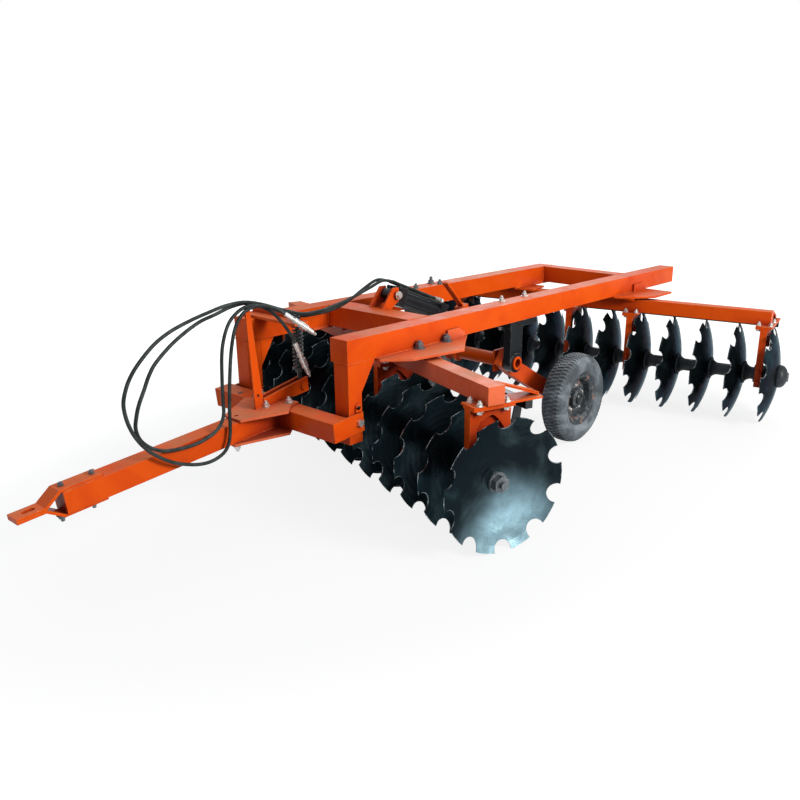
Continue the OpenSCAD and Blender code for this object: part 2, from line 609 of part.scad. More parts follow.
// The ram's own axis: X' across, Y' from the front pin towards the rod's eye
ram_dy = rockshaft_y + eye_y - ram_pin_y;
ram_dz = rockshaft_z + eye_z - ram_pin_z;
ram_l = sqrt(ram_dy * ram_dy + ram_dz * ram_dz);
ram_fall = atan2(-ram_dz, ram_dy);
module ram_frame() translate([-ram_x, ram_pin_y, ram_pin_z]) rotate([-ram_fall, 0, 0]) children();
module y_rod(r, a, b, fn = 48) translate([0, a, 0]) rotate([-90, 0, 0]) cylinder(r = r, h = b - a, $fn = fn);
ram_eye_r = 30;
ram_cap_l = 54;
ram_cap_y = 32;
tie_r = 7;
tie_at = ram_cap_w / 2 - 12;
rod_bore_y = 215;
module ram_barrel() color(steel_black) ram_frame() difference() {
    union() {
        x_rod(ram_eye_r, -lug_gap / 2 + 1, lug_gap / 2 - 1);
        box([-38, 0, -26], [38, ram_cap_y + 1, 26]);
        box([-ram_cap_w / 2, ram_cap_y, -ram_cap_w / 2], [ram_cap_w / 2, ram_cap_y + ram_cap_l, ram_cap_w / 2]);
        y_rod(ram_barrel_d / 2, ram_cap_y + 1, ram_body_l - 1);
        box([-ram_cap_w / 2, ram_body_l - ram_cap_l, -ram_cap_w / 2], [ram_cap_w / 2, ram_body_l, ram_cap_w / 2]);
        for (x = [-tie_at, tie_at], z = [-tie_at, tie_at])
            translate([x, 0, z]) y_rod(tie_r, ram_cap_y - 10, ram_body_l + 12, 24);
    }
    x_rod(ram_pin_d / 2 + running_gap, -lug_gap, lug_gap);
    y_rod(ram_rod_d / 2 + running_gap, rod_bore_y, ram_body_l + 1);
}
rod_eye_r = 44;
rod_eye_w = crank_gap - 8;
module ram_rod() color(zinc) ram_frame() difference() {
    union() {
        y_rod(ram_rod_d / 2, rod_bore_y + 95, ram_l - rod_eye_r + 6);
        translate([0, ram_l, 0]) x_rod(rod_eye_r, -rod_eye_w / 2, rod_eye_w / 2);
    }
    translate([0, ram_l, 0]) x_rod(ram_pin_d / 2 + 1, -rod_eye_w, rod_eye_w);
}
// Fittings on the rear cap and the two lines that run forward over the barrel
line_x = [-22, 22];
line_z = ram_cap_w / 2 + 14;
line_front_y = 20;
module ram_lines() color(rubber) ram_frame() for (x = line_x) translate([x, 0, 0]) {
    translate([0, 0, line_z]) y_rod(hose_d / 2, line_front_y, ram_body_l - ram_cap_l / 2 + 14, 24);
    translate([0, ram_body_l - ram_cap_l / 2, ram_cap_w / 2]) cylinder(r = 12, h = 14, $fn = 6);
}

// ---------------------------------------------------------------- drawbar
module drawbar() translate([0, pivot_y, pivot_z]) rotate([drawbar_slope, 0, 0]) children();
half_bar = drawbar_tube_w / 2;
cross_front = -cross_beam_gap - cross_beam_d;
module drawbar_tube() color(paint) drawbar()
    box([-drawbar_x - half_bar, -drawbar_l, -half_bar], [-drawbar_x + half_bar, cross_front, half_bar]);
ear_x = frame_half_w + ear_gap;
ear_over = 30;
module drawbar_cross_beam() color(paint) drawbar() difference() {
    union() {
        box([-cross_beam_right, cross_front, -half_bar], [ear_x + ear_t, -cross_beam_gap, half_bar]);
        both_sides()
            box([ear_x, -cross_beam_gap - 1, -half_bar], [ear_x + ear_t, ear_over, half_bar]);
    }
    x_rod(pivot_pin_d / 2 + running_gap, -ear_x - 2 * ear_t, ear_x + 2 * ear_t);
}
pin_head_l = 16;
module pivot_pins() color(zinc) both_sides() translate([0, pivot_y, pivot_z]) {
    x_rod(pivot_pin_d / 2, frame_half_w - leg_w - 8, ear_x + ear_t + 1);
    x_rod(pivot_pin_d * 0.8, ear_x + ear_t, ear_x + ear_t + pin_head_l, 6);
    x_rod(pivot_pin_d * 0.8, frame_half_w - leg_w - pin_head_l, frame_half_w - leg_w - ear_gap, 6);
}
// Gussets as [left of the drawbar's middle, forward of the pivot], half an outline
gusset_half = [[65, -400], [175, -190], [115, -125], [115, -cross_beam_gap]];
gusset_low_half = [[58, -450], [175, -200], [115, -125], [115, -cross_beam_gap]];
function mirrored(list) = concat(list, [for (p = reversed(list)) [-p[0], p[1]]]);
gusset_holes = [[-7, -371, 11], [-2, -240, 10], [-155, -153, 10], [155, -153, 10]];
module drawbar_gussets() color(paint) drawbar() translate([-drawbar_x, 0, 0]) {
    difference() {
        translate([0, 0, half_bar]) linear_extrude(gusset_t) polygon(mirrored(gusset_half));
        for (h = gusset_holes) translate([h[0], h[1], half_bar - 1]) cylinder(r = h[2], h = gusset_t + 2, $fn = 24);
    }
    translate([0, 0, -half_bar - gusset_t]) linear_extrude(gusset_t) polygon(mirrored(gusset_low_half));
}
// Straps as [y, z] of the drawbar: flat on the tube, bent in at its front to meet in the tongue
strap_back = -1100;
strap_bend = -drawbar_l - 10;
strap_meet = strap_bend - half_bar - 20;
module strap_cut() {
    slot_y = -tongue_l + 66;
    translate([-drawbar_x, slot_y, -40]) linear_extrude(80) {
        for (s = [-1, 1]) translate([0, s * (hitch_slot_l - hitch_slot_w) / 2]) circle(r = hitch_slot_w / 2, $fn = 32);
        square([hitch_slot_w, hitch_slot_l - hitch_slot_w], center = true);
    }
}
module hitch_strap() drawbar() difference() {
    x_plate([[strap_back, half_bar], [strap_back, half_bar + gusset_t], [strap_bend, half_bar + gusset_t],
        [strap_meet, gusset_t], [-tongue_l, gusset_t], [-tongue_l, 0], [strap_meet + 5, 0], [strap_bend + 5, half_bar]],
        -drawbar_x - strap_w / 2, -drawbar_x + strap_w / 2);
    strap_cut();
}
module hitch_strap_low() drawbar() difference() {
    x_plate([[strap_back, -half_bar], [strap_back, -half_bar - gusset_t], [strap_bend, -half_bar - gusset_t],
        [strap_meet, -gusset_t], [-tongue_l, -gusset_t], [-tongue_l, 0], [strap_meet + 5, 0], [strap_bend + 5, -half_bar]],
        -drawbar_x - strap_w / 2, -drawbar_x + strap_w / 2);
    strap_cut();
}
module hitch_strap_top() color(paint) hitch_strap();
module hitch_strap_bottom() color(paint) hitch_strap_low();

gusset_top = half_bar + gusset_t;
post_front = -267;
post_back = -221;
post_t = 8;
post_x = -18;
module hose_post() color(paint) drawbar() {
    difference() {
        union() {
            x_plate([[post_front, gusset_top], [post_back, gusset_top], [post_back, gusset_top + post_h],
                [post_back - 18, gusset_top + post_h]], post_x, post_x + post_t);
            box([post_x - 26, post_back, gusset_top], [post_x + post_t, post_back + post_t, gusset_top + post_h]);
        }
        translate([0, -240, gusset_top + 66]) x_rod(8, post_x - 1, post_x + post_t + 1, 24);
    }
}
lever_t = 12;
lever_x = [-16, -61];
lever_pin_y = 46;
lever_pin_z = 92;
module level_lever() color(paint) drawbar() {
    for (x = lever_x) x_plate([[post_back + post_t, gusset_top], [-60, gusset_top], [-20, gusset_top - 8], [78, gusset_top - 6],
        [80, gusset_top + 72], [post_back + post_t, gusset_top + 42]], x, x + lever_t);
    translate([0, lever_pin_y, lever_pin_z]) x_rod(11, lever_x[1] - 10, lever_x[0] + lever_t + 10);
    translate([0, lever_pin_y, lever_pin_z]) x_rod(20, lever_x[0] + lever_t - 1, lever_x[0] + lever_t + 10);
}
// Lever pin in the frame's axes
level_x = (lever_x[0] + lever_x[1] + lever_t) / 2;
level_y = pivot_y + lever_pin_y * cos(drawbar_slope) - lever_pin_z * sin(drawbar_slope);
level_z = pivot_z + lever_pin_y * sin(drawbar_slope) + lever_pin_z * cos(drawbar_slope);
level_eye_w = 26;
collar_z = level_z + 98;
collar_h = 10;
bracket_t = 14;
bracket_z = frame_top;
module level_rod() color(steel_black) translate([level_x, level_y, 0]) difference() {
    union() {
        translate([0, 0, level_z]) x_rod(24, -level_eye_w / 2, level_eye_w / 2);
        translate([0, 0, level_z + 18]) cylinder(r = level_rod_d / 2, h = bracket_z + bracket_t + 38 - level_z - 18, $fn = 32);
        translate([0, 0, collar_z - collar_h]) cylinder(r = spring_d / 2 + 3, h = collar_h, $fn = 48);
        translate([0, 0, collar_z - collar_h - 16]) cylinder(r = 20, h = 16, $fn = 6);
        translate([0, 0, bracket_z + bracket_t + 12]) cylinder(r = 20, h = 18, $fn = 6);
    }
    translate([0, 0, level_z]) x_rod(11 + running_gap, -level_eye_w, level_eye_w);
}
module level_bracket() color(paint) difference() {
    union() {
        box([-frame_half_w, level_y - 45, frame_top], [level_x + 40, level_y + 45, frame_top + bracket_t]);
        rotate([90, 0, 0]) translate([0, 0, -level_y - 40]) linear_extrude(10)
            polygon([[-frame_half_w, frame_top + bracket_t - 1], [level_x - 50, frame_top + bracket_t - 1],
                [-frame_half_w + frame_tube, frame_top + bracket_t + 36], [-frame_half_w, frame_top + bracket_t + 36]]);
    }
    translate([level_x, level_y, frame_top - 1]) cylinder(r = level_rod_d / 2 + 5, h = bracket_t + 2, $fn = 32);
}
// Helix of the spring as a swept tube
spring_h = bracket_z - collar_z - 1;
spring_sides = 6;
spring_per_turn = 18;
spring_rings = spring_turns * spring_per_turn;
spring_mean_r = (spring_d - spring_wire_d) / 2;
function ring_points(c, r, side, up, n) =
    [for (k = [0:n - 1]) c + r * cos(k * 360 / n) * side + r * sin(k * 360 / n) * up];
function tube_faces(rings, n) = concat(
    [[for (k = [n - 1:-1:0]) k]],
    [for (i = [0:rings - 2], k = [0:n - 1]) let (a = i * n + k, b = i * n + (k + 1) % n) [a, b, b + n]],
    [for (i = [0:rings - 2], k = [0:n - 1]) let (a = i * n + k, b = i * n + (k + 1) % n) [a, b + n, a + n]],
    [[for (k = [0:n - 1]) (rings - 1) * n + k]]);
module level_spring() color(steel_black) translate([level_x, level_y, collar_z + spring_wire_d / 2 + 0.5]) {
    rise = spring_h - spring_wire_d;
    points = [for (i = [0:spring_rings]) let (t = i * 360 / spring_per_turn)
        each ring_points([spring_mean_r * cos(t), spring_mean_r * sin(t), rise * i / spring_rings],
            spring_wire_d / 2, [cos(t), sin(t), 0], [0, 0, 1], spring_sides)];
    polyhedron(points, [for (f = tube_faces(spring_rings + 1, spring_sides)) reversed(f)], convexity = 6);
}

// ---------------------------------------------------------------- hoses
// Where each line on the ram ends and its hose begins
ram_dir = [0, cos(ram_fall), -sin(ram_fall)];
ram_up = [0, sin(ram_fall), cos(ram_fall)];
function line_end(x) = [-ram_x + x, ram_pin_y, ram_pin_z] + line_front_y * ram_dir + line_z * ram_up;
hose_gap = 0.2;
function hose_start(x) = [line_end(x) - hose_gap * ram_dir, line_end(x) - 45 * ram_dir];
// A hose's last points run straight into its coupler
function hose_end(at, to) = [at - 30 * unit(to - at), at];
// Points along each hose after its line: over the post, down beside the drawbar and back over the post
hose_one_points = [[-28, 720, 1070], [-29, 620, 1042], [-28, 465, 1000], [-20, 350, 982], [-6, 240, 972],
    [4, 105, 975], [-2, -20, 1012], [-8, -135, 1054], [-6, -245, 1082], [0, -355, 1080], [5, -445, 1062],
    [15, -555, 1040], [22, -665, 1008], [30, -755, 965], [40, -840, 900], [45, -890, 845], [48, -920, 790],
    [50, -935, 735], [55, -930, 665], [60, -910, 600], [62, -875, 540], [65, -825, 485], [65, -750, 430],
    [65, -660, 390], [65, -580, 372], [62, -515, 375], [60, -465, 395], [56, -435, 430], [52, -418, 490],
    [45, -408, 590], [36, -388, 730], [30, -362, 870], [28, -330, 970], [28, -285, 1030], [29, -225, 1056],
    [32, -155, 1052], [34, -95, 1032]];
hose_two_points = [[-72, 720, 1070], [-71, 620, 1036], [-66, 500, 985], [-64, 390, 955], [-68, 275, 943],
    [-70, 135, 949], [-58, 0, 995], [-40, -105, 1040], [-26, -215, 1068], [-24, -310, 1062], [-20, -400, 1040],
    [-10, -505, 1016], [0, -635, 955], [14, -740, 885], [20, -785, 835], [25, -820, 775], [30, -855, 715],
    [34, -875, 665], [36, -885, 615], [40, -872, 562], [42, -830, 515], [42, -775, 485], [42, -715, 472],
    [42, -635, 468], [42, -555, 478], [42, -480, 510], [38, -440, 565], [28, -428, 640], [24, -422, 730],
    [12, -400, 875], [4, -355, 980], [6, -300, 1036], [8, -235, 1060], [11, -165, 1050], [14, -95, 1010],
    [17, -35, 945]];
coupler_one_at = [38, -40, 1000];
coupler_one_to = [100, 116, 871];
coupler_two_at = [20, 30, 837];
coupler_two_to = [50, 102, 632];
module hose_one() color(rubber)
    hose(concat(hose_start(line_x[1]), hose_one_points, hose_end(coupler_one_at, coupler_one_to)));
module hose_two() color(rubber)
    hose(concat(hose_start(line_x[0]), hose_two_points, hose_end(coupler_two_at, coupler_two_to)));
function unit(v) = v / norm(v);
function tangent(p, i) = unit(p[min(i + 1, len(p) - 1)] - p[max(i - 1, 0)]);
hose_sides = 8;
module hose(route) {
    points = [for (i = [0:len(route) - 1]) let (t = tangent(route, i), s = unit(cross(t, [0.3, 0.2, 1])), u = cross(s, t))
        each ring_points(route[i], hose_d / 2, s, u, hose_sides)];
    polyhedron(points, [for (f = tube_faces(len(route), hose_sides)) reversed(f)], convexity = 8);
}
// Coupler as [radius, distance]: crimped ferrule, hexagon, body and the tip that plugs in
coupler_profile = [[0, 0], [12, 0], [12, 48], [9, 50], [9, 56], [15, 57], [15, 78], [12, 80], [12, 90], [17, 92],
    [17, 140], [14, 144], [11.8, 146], [11.8, 176], [8, 184], [6, 198], [0, 200]];
module coupler(at, to) {
    d = to - at;
    translate(at) rotate([0, acos(d[2] / norm(d)), atan2(d[1], d[0])]) rotate_extrude($fn = 32)
        polygon(coupler_profile);
}
module coupler_one() color(zinc) coupler(coupler_one_at, coupler_one_to);
module coupler_two() color(zinc) coupler(coupler_two_at, coupler_two_to);

placed() main_beam_left();
placed() main_beam_right();
placed() cross_members();
placed() front_legs();
placed() front_angle_plates();
placed() rear_angle_plates();
placed() front_gang_beam();
placed() rear_gang_beam();
placed() front_gang_stands();
placed() rear_gang_stands();
placed() gang_bearings();
placed() front_scrapers();
placed() rear_scrapers();
placed() rockshaft_hangers();
placed() ram_lugs();
placed() level_bracket();
placed() front_gang_discs();
placed() front_gang_spools();
placed() front_gang_axle();
placed() rear_gang_discs();
placed() rear_gang_spools();
placed() rear_gang_axle();
placed() drawbar_tube();
placed() drawbar_cross_beam();
placed() drawbar_gussets();
placed() hitch_strap_top();
placed() hitch_strap_bottom();
placed() pivot_pins();
placed() hose_post();
placed() level_lever();
placed() level_rod();
placed() level_spring();
placed() rockshaft_tube();
placed() wheel_arms();
placed() rockshaft_crank();
placed() wheel_rim_left();
placed() wheel_rim_right();
placed() tyre_left();
placed() tyre_right();
placed() ram_barrel();
placed() ram_rod();
placed() ram_lines();
placed() hose_one();
placed() hose_two();
placed() coupler_one();
placed() coupler_two();
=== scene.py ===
# %% [markdown]
# # A towed offset disc harrow
# The real machine is a frame of square steel tube that carries two gangs of notched discs, set at opposite
# angles so that the first throws the soil one way and the second throws it back. The frame is loaded as
# finished solids. This lesson gives it its paint, steel and rubber. It redraws the hoses and the tyres, and
# adds bolts, weld beads and a few small plates.

# %% Load the frame
import bpy, bmesh, json, math, random
from mathutils import Matrix, Vector


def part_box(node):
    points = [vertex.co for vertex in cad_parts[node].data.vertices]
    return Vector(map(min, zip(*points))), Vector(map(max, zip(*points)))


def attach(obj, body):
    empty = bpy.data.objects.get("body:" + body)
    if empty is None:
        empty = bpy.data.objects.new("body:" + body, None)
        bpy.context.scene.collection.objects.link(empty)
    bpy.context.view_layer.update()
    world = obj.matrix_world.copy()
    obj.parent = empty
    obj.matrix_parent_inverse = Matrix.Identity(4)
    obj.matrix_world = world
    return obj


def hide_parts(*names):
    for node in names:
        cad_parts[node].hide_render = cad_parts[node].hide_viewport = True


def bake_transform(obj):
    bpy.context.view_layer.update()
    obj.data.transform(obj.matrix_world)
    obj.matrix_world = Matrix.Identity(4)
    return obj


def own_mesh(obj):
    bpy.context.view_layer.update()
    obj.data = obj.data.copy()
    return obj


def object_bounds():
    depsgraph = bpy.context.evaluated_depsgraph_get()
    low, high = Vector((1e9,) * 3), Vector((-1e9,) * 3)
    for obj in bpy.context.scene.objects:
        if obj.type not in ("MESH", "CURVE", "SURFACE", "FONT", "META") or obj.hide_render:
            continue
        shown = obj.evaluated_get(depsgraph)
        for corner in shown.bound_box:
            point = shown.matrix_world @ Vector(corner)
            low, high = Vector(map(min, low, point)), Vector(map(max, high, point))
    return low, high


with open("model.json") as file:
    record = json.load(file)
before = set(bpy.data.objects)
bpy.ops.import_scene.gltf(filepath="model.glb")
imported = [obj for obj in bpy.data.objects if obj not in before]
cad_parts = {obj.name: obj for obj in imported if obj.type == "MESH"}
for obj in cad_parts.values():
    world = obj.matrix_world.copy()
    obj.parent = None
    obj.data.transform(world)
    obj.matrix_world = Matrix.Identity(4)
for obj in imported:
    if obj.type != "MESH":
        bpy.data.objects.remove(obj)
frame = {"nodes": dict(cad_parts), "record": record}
low0, high0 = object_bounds()
scene = bpy.context.scene
low, high = Vector(low0), Vector(high0)
size = high - low
print("CAD box", [round(v, 3) for v in size])

# %% [markdown]
# ## Camera
# The machine is seen from its front left corner and from about eye height, with a normal lens. The camera
# looks down by 18 degrees, and the lens is shifted so that the whole machine stands inside the picture.
# Places are given in millimetres from the beams' front ends, and `at` turns them into the shared frame.

# %% Camera
BEAM_OUT, BEAM_IN = 435.5, 317.5  # the main beams' outer and inner faces, from the middle plane
beam_low, beam_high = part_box("main_beam_left")
ORIGIN = Vector((BEAM_OUT / 1000 - beam_high[0], -beam_low[1], 0))
CAMERA_PLACE = (3236, -2620, 1798)
YAW, PITCH, ROLL = 0.6753, 0.3207, 0.0137  # radians, to the left, downwards and tilted
LENS, SENSOR, SHIFT = 36.88, 36, (-0.0769, 0.0233)


def at(x, y, z):
    """A point given in millimetres from the beams' front ends, the middle plane and the ground."""
    return Vector((x, y, z)) / 1000 - ORIGIN


ahead = Vector((-math.sin(YAW) * math.cos(PITCH), math.cos(YAW) * math.cos(PITCH), -math.sin(PITCH)))
right = Vector((math.cos(YAW), math.sin(YAW), 0))
upward = right.cross(ahead)
side = right * math.cos(ROLL) + upward * math.sin(ROLL)
top = upward * math.cos(ROLL) - right * math.sin(ROLL)
camera = bpy.data.objects.new("camera", bpy.data.cameras.new("camera"))
camera.data.lens, camera.data.sensor_width = LENS, SENSOR
camera.data.shift_x, camera.data.shift_y = SHIFT
turn = Matrix((side, top, -ahead)).transposed().to_4x4()
camera.matrix_world = Matrix.Translation(at(*CAMERA_PLACE)) @ turn
scene.collection.objects.link(camera)
scene.camera = camera

# %% [markdown]
# ## Materials: the shared effects
# Paint, steel and rubber all show where they have been: edges rub bright or pale, dust settles on whatever
# faces up, and stains gather in patches. Light and shade are painted in with some of them: the pale edges
# are also a painted highlight, the dust on top faces is also a painted sheen, and a painted shade darkens
# the paint where other pieces close in. Each of these is one node group that puts out a mask, and each
# material mixes it in with its own strength.

# %% Node helpers
def link(tree, a, b):
    tree.links.new(a, b)


def node(tree, kind, values=None, **settings):
    """A shader node with its input values and settings."""
    n = tree.nodes.new(kind)
    for key, value in settings.items():
        setattr(n, key, value)
    for key, value in (values or {}).items():
        if isinstance(value, bpy.types.NodeSocket):
            tree.links.new(value, n.inputs[key])
        else:
            n.inputs[key].default_value = value
    return n


def group(name, inputs, outputs):
    """An empty node group with float inputs and the given outputs."""
    g = bpy.data.node_groups.new(name, "ShaderNodeTree")
    for n, value in inputs.items():
        s = g.interface.new_socket(n, in_out="INPUT", socket_type="NodeSocketFloat")
        s.default_value = value
    for n, kind in outputs.items():
        g.interface.new_socket(n, in_out="OUTPUT", socket_type=kind)
    return g, g.nodes.new("NodeGroupInput"), g.nodes.new("NodeGroupOutput")


def maths(tree, what, a, b=0.0, clamp=False):
    n = tree.nodes.new("ShaderNodeMath")
    n.operation, n.use_clamp = what, clamp
    for i, value in enumerate((a, b)):
        if isinstance(value, bpy.types.NodeSocket):
            tree.links.new(value, n.inputs[i])
        else:
            n.inputs[i].default_value = value
    return n.outputs[0]


def ramp_mask(tree, value, low_at, high_at):
    n = node(tree, "ShaderNodeMapRange", {"Value": value, "From Min": low_at, "From Max": high_at},
             interpolation_type="SMOOTHSTEP")
    return n.outputs["Result"]


def mix(tree, mask, a, b):
    """Colour a where the mask is 0 and b where it is 1."""
    n = tree.nodes.new("ShaderNodeMix")
    n.data_type = "RGBA"
    link(tree, mask, n.inputs[0])
    for i, value in ((6, a), (7, b)):
        if isinstance(value, bpy.types.NodeSocket):
            link(tree, value, n.inputs[i])
        else:
            n.inputs[i].default_value = (*value, 1)
    return n.outputs[2]


def noise(tree, scale, detail, roughness=0.5, distortion=0.0):
    """Noise that is fixed to the piece."""
    where = node(tree, "ShaderNodeTexCoord")
    n = node(tree, "ShaderNodeTexNoise", {"Vector": where.outputs["Object"], "Scale": scale, "Detail": detail,
                                          "Roughness": roughness, "Distortion": distortion})
    return n.outputs["Fac"]


# %% Edge wear and painted edge highlight group
wear_and_highlight_group, g_in, g_out = group("edge wear and highlight", {"Radius": 0.004, "Scale": 30, "Amount": 0.5},
                                {"Mask": "NodeSocketFloat"})
t = wear_and_highlight_group
round_normal = node(t, "ShaderNodeBevel", {"Radius": g_in.outputs["Radius"]}, samples=4)
flat_normal = node(t, "ShaderNodeNewGeometry")
dot = node(t, "ShaderNodeVectorMath", {0: round_normal.outputs[0], 1: flat_normal.outputs["Normal"]},
           operation="DOT_PRODUCT")
edge = ramp_mask(t, maths(t, "SUBTRACT", 1.0, dot.outputs["Value"]), 0.01, 0.22)
chip = ramp_mask(t, noise(t, g_in.outputs["Scale"], 5, 0.65), 0.42, 0.62)
chipped = maths(t, "MULTIPLY", edge, chip)
link(t, maths(t, "MULTIPLY", chipped, g_in.outputs["Amount"], True), g_out.inputs["Mask"])

# %% Dust and painted top sheen, stain, and painted corner shade groups
# Dust settles on faces that look up, and the same mask also paints a lighter sheen there, where the sky
# lights the tops.
dust_and_sheen_group, g_in, g_out = group("dust and sheen on top", {"Scale": 6, "Amount": 0.5}, {"Mask": "NodeSocketFloat"})
t = dust_and_sheen_group
geometry = node(t, "ShaderNodeNewGeometry")
facing = node(t, "ShaderNodeSeparateXYZ", {0: geometry.outputs["Normal"]})
up_mask = ramp_mask(t, facing.outputs["Z"], 0.35, 0.95)
patch = ramp_mask(t, noise(t, g_in.outputs["Scale"], 7, 0.6), 0.25, 0.75)
on_top = maths(t, "MULTIPLY", up_mask, patch)
link(t, maths(t, "MULTIPLY", on_top, g_in.outputs["Amount"], True), g_out.inputs["Mask"])

stain_group, g_in, g_out = group("stains", {"Scale": 4, "From": 0.45, "To": 0.7}, {"Mask": "NodeSocketFloat"})
t = stain_group
cloud = noise(t, g_in.outputs["Scale"], 8, 0.62, 0.6)
link(t, ramp_mask(t, cloud, g_in.outputs["From"], g_in.outputs["To"]), g_out.inputs["Mask"])

# Painted shade: ambient occlusion darkens the colour in corners and on faces that other pieces close in on.
painted_shade_group, g_in, g_out = group("painted corner shade", {"Reach": 0.2, "Amount": 0.5}, {"Mask": "NodeSocketFloat"})
t = painted_shade_group
closed = node(t, "ShaderNodeAmbientOcclusion", {"Distance": g_in.outputs["Reach"]}, samples=6)
in_shade = ramp_mask(t, maths(t, "SUBTRACT", 1.0, closed.outputs["AO"]), 0.15, 0.75)
link(t, maths(t, "MULTIPLY", in_shade, g_in.outputs["Amount"], True), g_out.inputs["Mask"])

# %% [markdown]
# ## Materials: the finishes
# Each finish starts from one Principled shader. Its constants are set on the shader's own sockets, and only
# what changes over the surface is wired in: the colour, the roughness and a fine bump.

# %% Finish helpers
def new_material(name, **constants):
    m = bpy.data.materials.new(name)
    m.use_nodes = True
    tree = m.node_tree
    shader = tree.nodes["Principled BSDF"]
    for key, value in constants.items():
        shader.inputs[key.replace("_", " ")].default_value = value
    return m, tree, shader


def use(tree, which, **values):
    n = tree.nodes.new("ShaderNodeGroup")
    n.node_tree = which
    for key, value in values.items():
        n.inputs[key].default_value = value
    return n.outputs["Mask"]


def stained(tree, scale, low_at, high_at):
    return use(tree, stain_group, Scale=scale, From=low_at, To=high_at)


def dusted_and_lit(tree, scale, amount):
    return use(tree, dust_and_sheen_group, Scale=scale, Amount=amount)


def worn_and_lit(tree, radius, scale, amount):
    return use(tree, wear_and_highlight_group, Radius=radius, Scale=scale, Amount=amount)


def fine_bump(tree, shader, scale, height, distance=0.001, radius=0.0):
    """A grain on the surface, over edges softened by radius."""
    grain = noise(tree, scale, 4)
    bump = node(tree, "ShaderNodeBump", {"Strength": height, "Distance": distance, "Height": grain})
    if radius:
        soft = node(tree, "ShaderNodeBevel", {"Radius": radius}, samples=4)
        link(tree, soft.outputs[0], bump.inputs["Normal"])
    link(tree, bump.outputs["Normal"], shader.inputs["Normal"])


def between(tree, mask, a, b):
    """A value of a where the mask is 0 and b where it is 1."""
    return node(tree, "ShaderNodeMapRange", {"Value": mask, "To Min": a, "To Max": b}).outputs["Result"]


def colour_and_gloss(tree, shader, colour, mask, a, b):
    """Wire in the colour, and a roughness between a and b."""
    link(tree, colour, shader.inputs["Base Color"])
    link(tree, between(tree, mask, a, b), shader.inputs["Roughness"])


# %% Orange enamel, and the same enamel chalked, and with more dust and painted top sheen
ORANGE, DEEP, PAINTED_SHADE = (0.77, 0.090, 0.003), (0.62, 0.048, 0.003), (0.22, 0.012, 0.006)
PALE_AND_HIGHLIGHT, DUST_AND_SHEEN, CHALK = (0.92, 0.27, 0.08), (0.44, 0.19, 0.085), (0.78, 0.24, 0.14)


def orange_enamel(name, dust, chalk):
    m, t, s = new_material(name, Specular_IOR_Level=0.12, Coat_Weight=0.02, Coat_Roughness=0.25)
    colour = mix(t, stained(t, 2.2, 0.42, 0.75), ORANGE, DEEP)
    if chalk:
        colour = mix(t, between(t, stained(t, 7, 0.2, 0.8), chalk * 0.5, chalk), colour, CHALK)
    # Dust, and a painted lighter sheen, on the faces that look up.
    colour = mix(t, dusted_and_lit(t, 5, dust), colour, DUST_AND_SHEEN)
    # Painted shade, dark red, in corners and near other pieces.
    colour = mix(t, use(t, painted_shade_group, Reach=0.32, Amount=0.9), colour, PAINTED_SHADE)
    # Pale rubbed edges, which are also a painted edge highlight.
    colour = mix(t, worn_and_lit(t, 0.005, 24, 0.85), colour, PALE_AND_HIGHLIGHT)
    colour_and_gloss(t, s, colour, stained(t, 9, 0.3, 0.75), 0.34, 0.6)
    fine_bump(t, s, 160, 0.12, radius=0.003)
    return m


enamel = orange_enamel("orange_enamel", 0.6, 0)
chalky = orange_enamel("chalky_enamel", 0.75, 0.5)
# The stands carry more dust and more painted top sheen.
sheen_dusty = orange_enamel("dusty_enamel", 0.95, 0)

# %% Caked wheel paint: dark grime with dried soil in patches
caked, t, s = new_material("caked_enamel", Specular_IOR_Level=0.2)
GRIME, RED_SOIL, GREY_SOIL = (0.040, 0.050, 0.060), (0.40, 0.21, 0.16), (0.17, 0.18, 0.19)
colour = mix(t, stained(t, 11, 0.54, 0.70), GRIME, RED_SOIL)
colour = mix(t, stained(t, 34, 0.46, 0.74), colour, GREY_SOIL)
colour_and_gloss(t, s, colour, stained(t, 30, 0.3, 0.7), 0.5, 0.9)
fine_bump(t, s, 90, 0.7, distance=0.003)

# %% Disc steel: black from the mill, with a painted sheen, a bluish painted reflection of the floor, low on the outermost disc
disc_steel, t, s = new_material("disc_steel", Metallic=0.8, Specular_IOR_Level=0.2,
                                Specular_Tint=(0.22, 0.34, 0.40, 1))
SCALE_BLACK, BLUE_STEEL = (0.010, 0.016, 0.019), (0.050, 0.080, 0.092)
RUBBED, PAINTED_SHEEN = (0.66, 0.72, 0.75), (0.52, 0.84, 1.0)
SHEEN_PLACE, SHEEN_REACH, SHEEN_CORE = (1.12, -0.83, 0.05), 0.37, 0.04  # metres, low on the outermost disc
LAST_DISC = (0.98, 1.04)  # metres along X, where the mask fades in
colour = mix(t, stained(t, 3.4, 0.44, 0.74), SCALE_BLACK, BLUE_STEEL)
where = node(t, "ShaderNodeTexCoord")
place = node(t, "ShaderNodeSeparateXYZ", {0: where.outputs["Object"]})
# A painted sheen: a bright bluish painted reflection, strongest at one point low on the outermost disc and
# fading with distance, in patches.
away = node(t, "ShaderNodeVectorMath", {0: where.outputs["Object"], 1: SHEEN_PLACE}, operation="DISTANCE")
near_sheen = ramp_mask(t, away.outputs["Value"], SHEEN_REACH, SHEEN_CORE)
outermost = ramp_mask(t, place.outputs["X"], *LAST_DISC)
patchy = between(t, stained(t, 5, 0.25, 0.75), 1.0, 0.45)
sheen_mask = maths(t, "MULTIPLY", maths(t, "MULTIPLY", near_sheen, outermost), patchy)
colour = mix(t, sheen_mask, colour, PAINTED_SHEEN)
colour = mix(t, worn_and_lit(t, 0.007, 18, 1.0), colour, RUBBED)
colour_and_gloss(t, s, colour, stained(t, 6, 0.35, 0.7), 0.20, 0.38)
fine_bump(t, s, 90, 0.10)

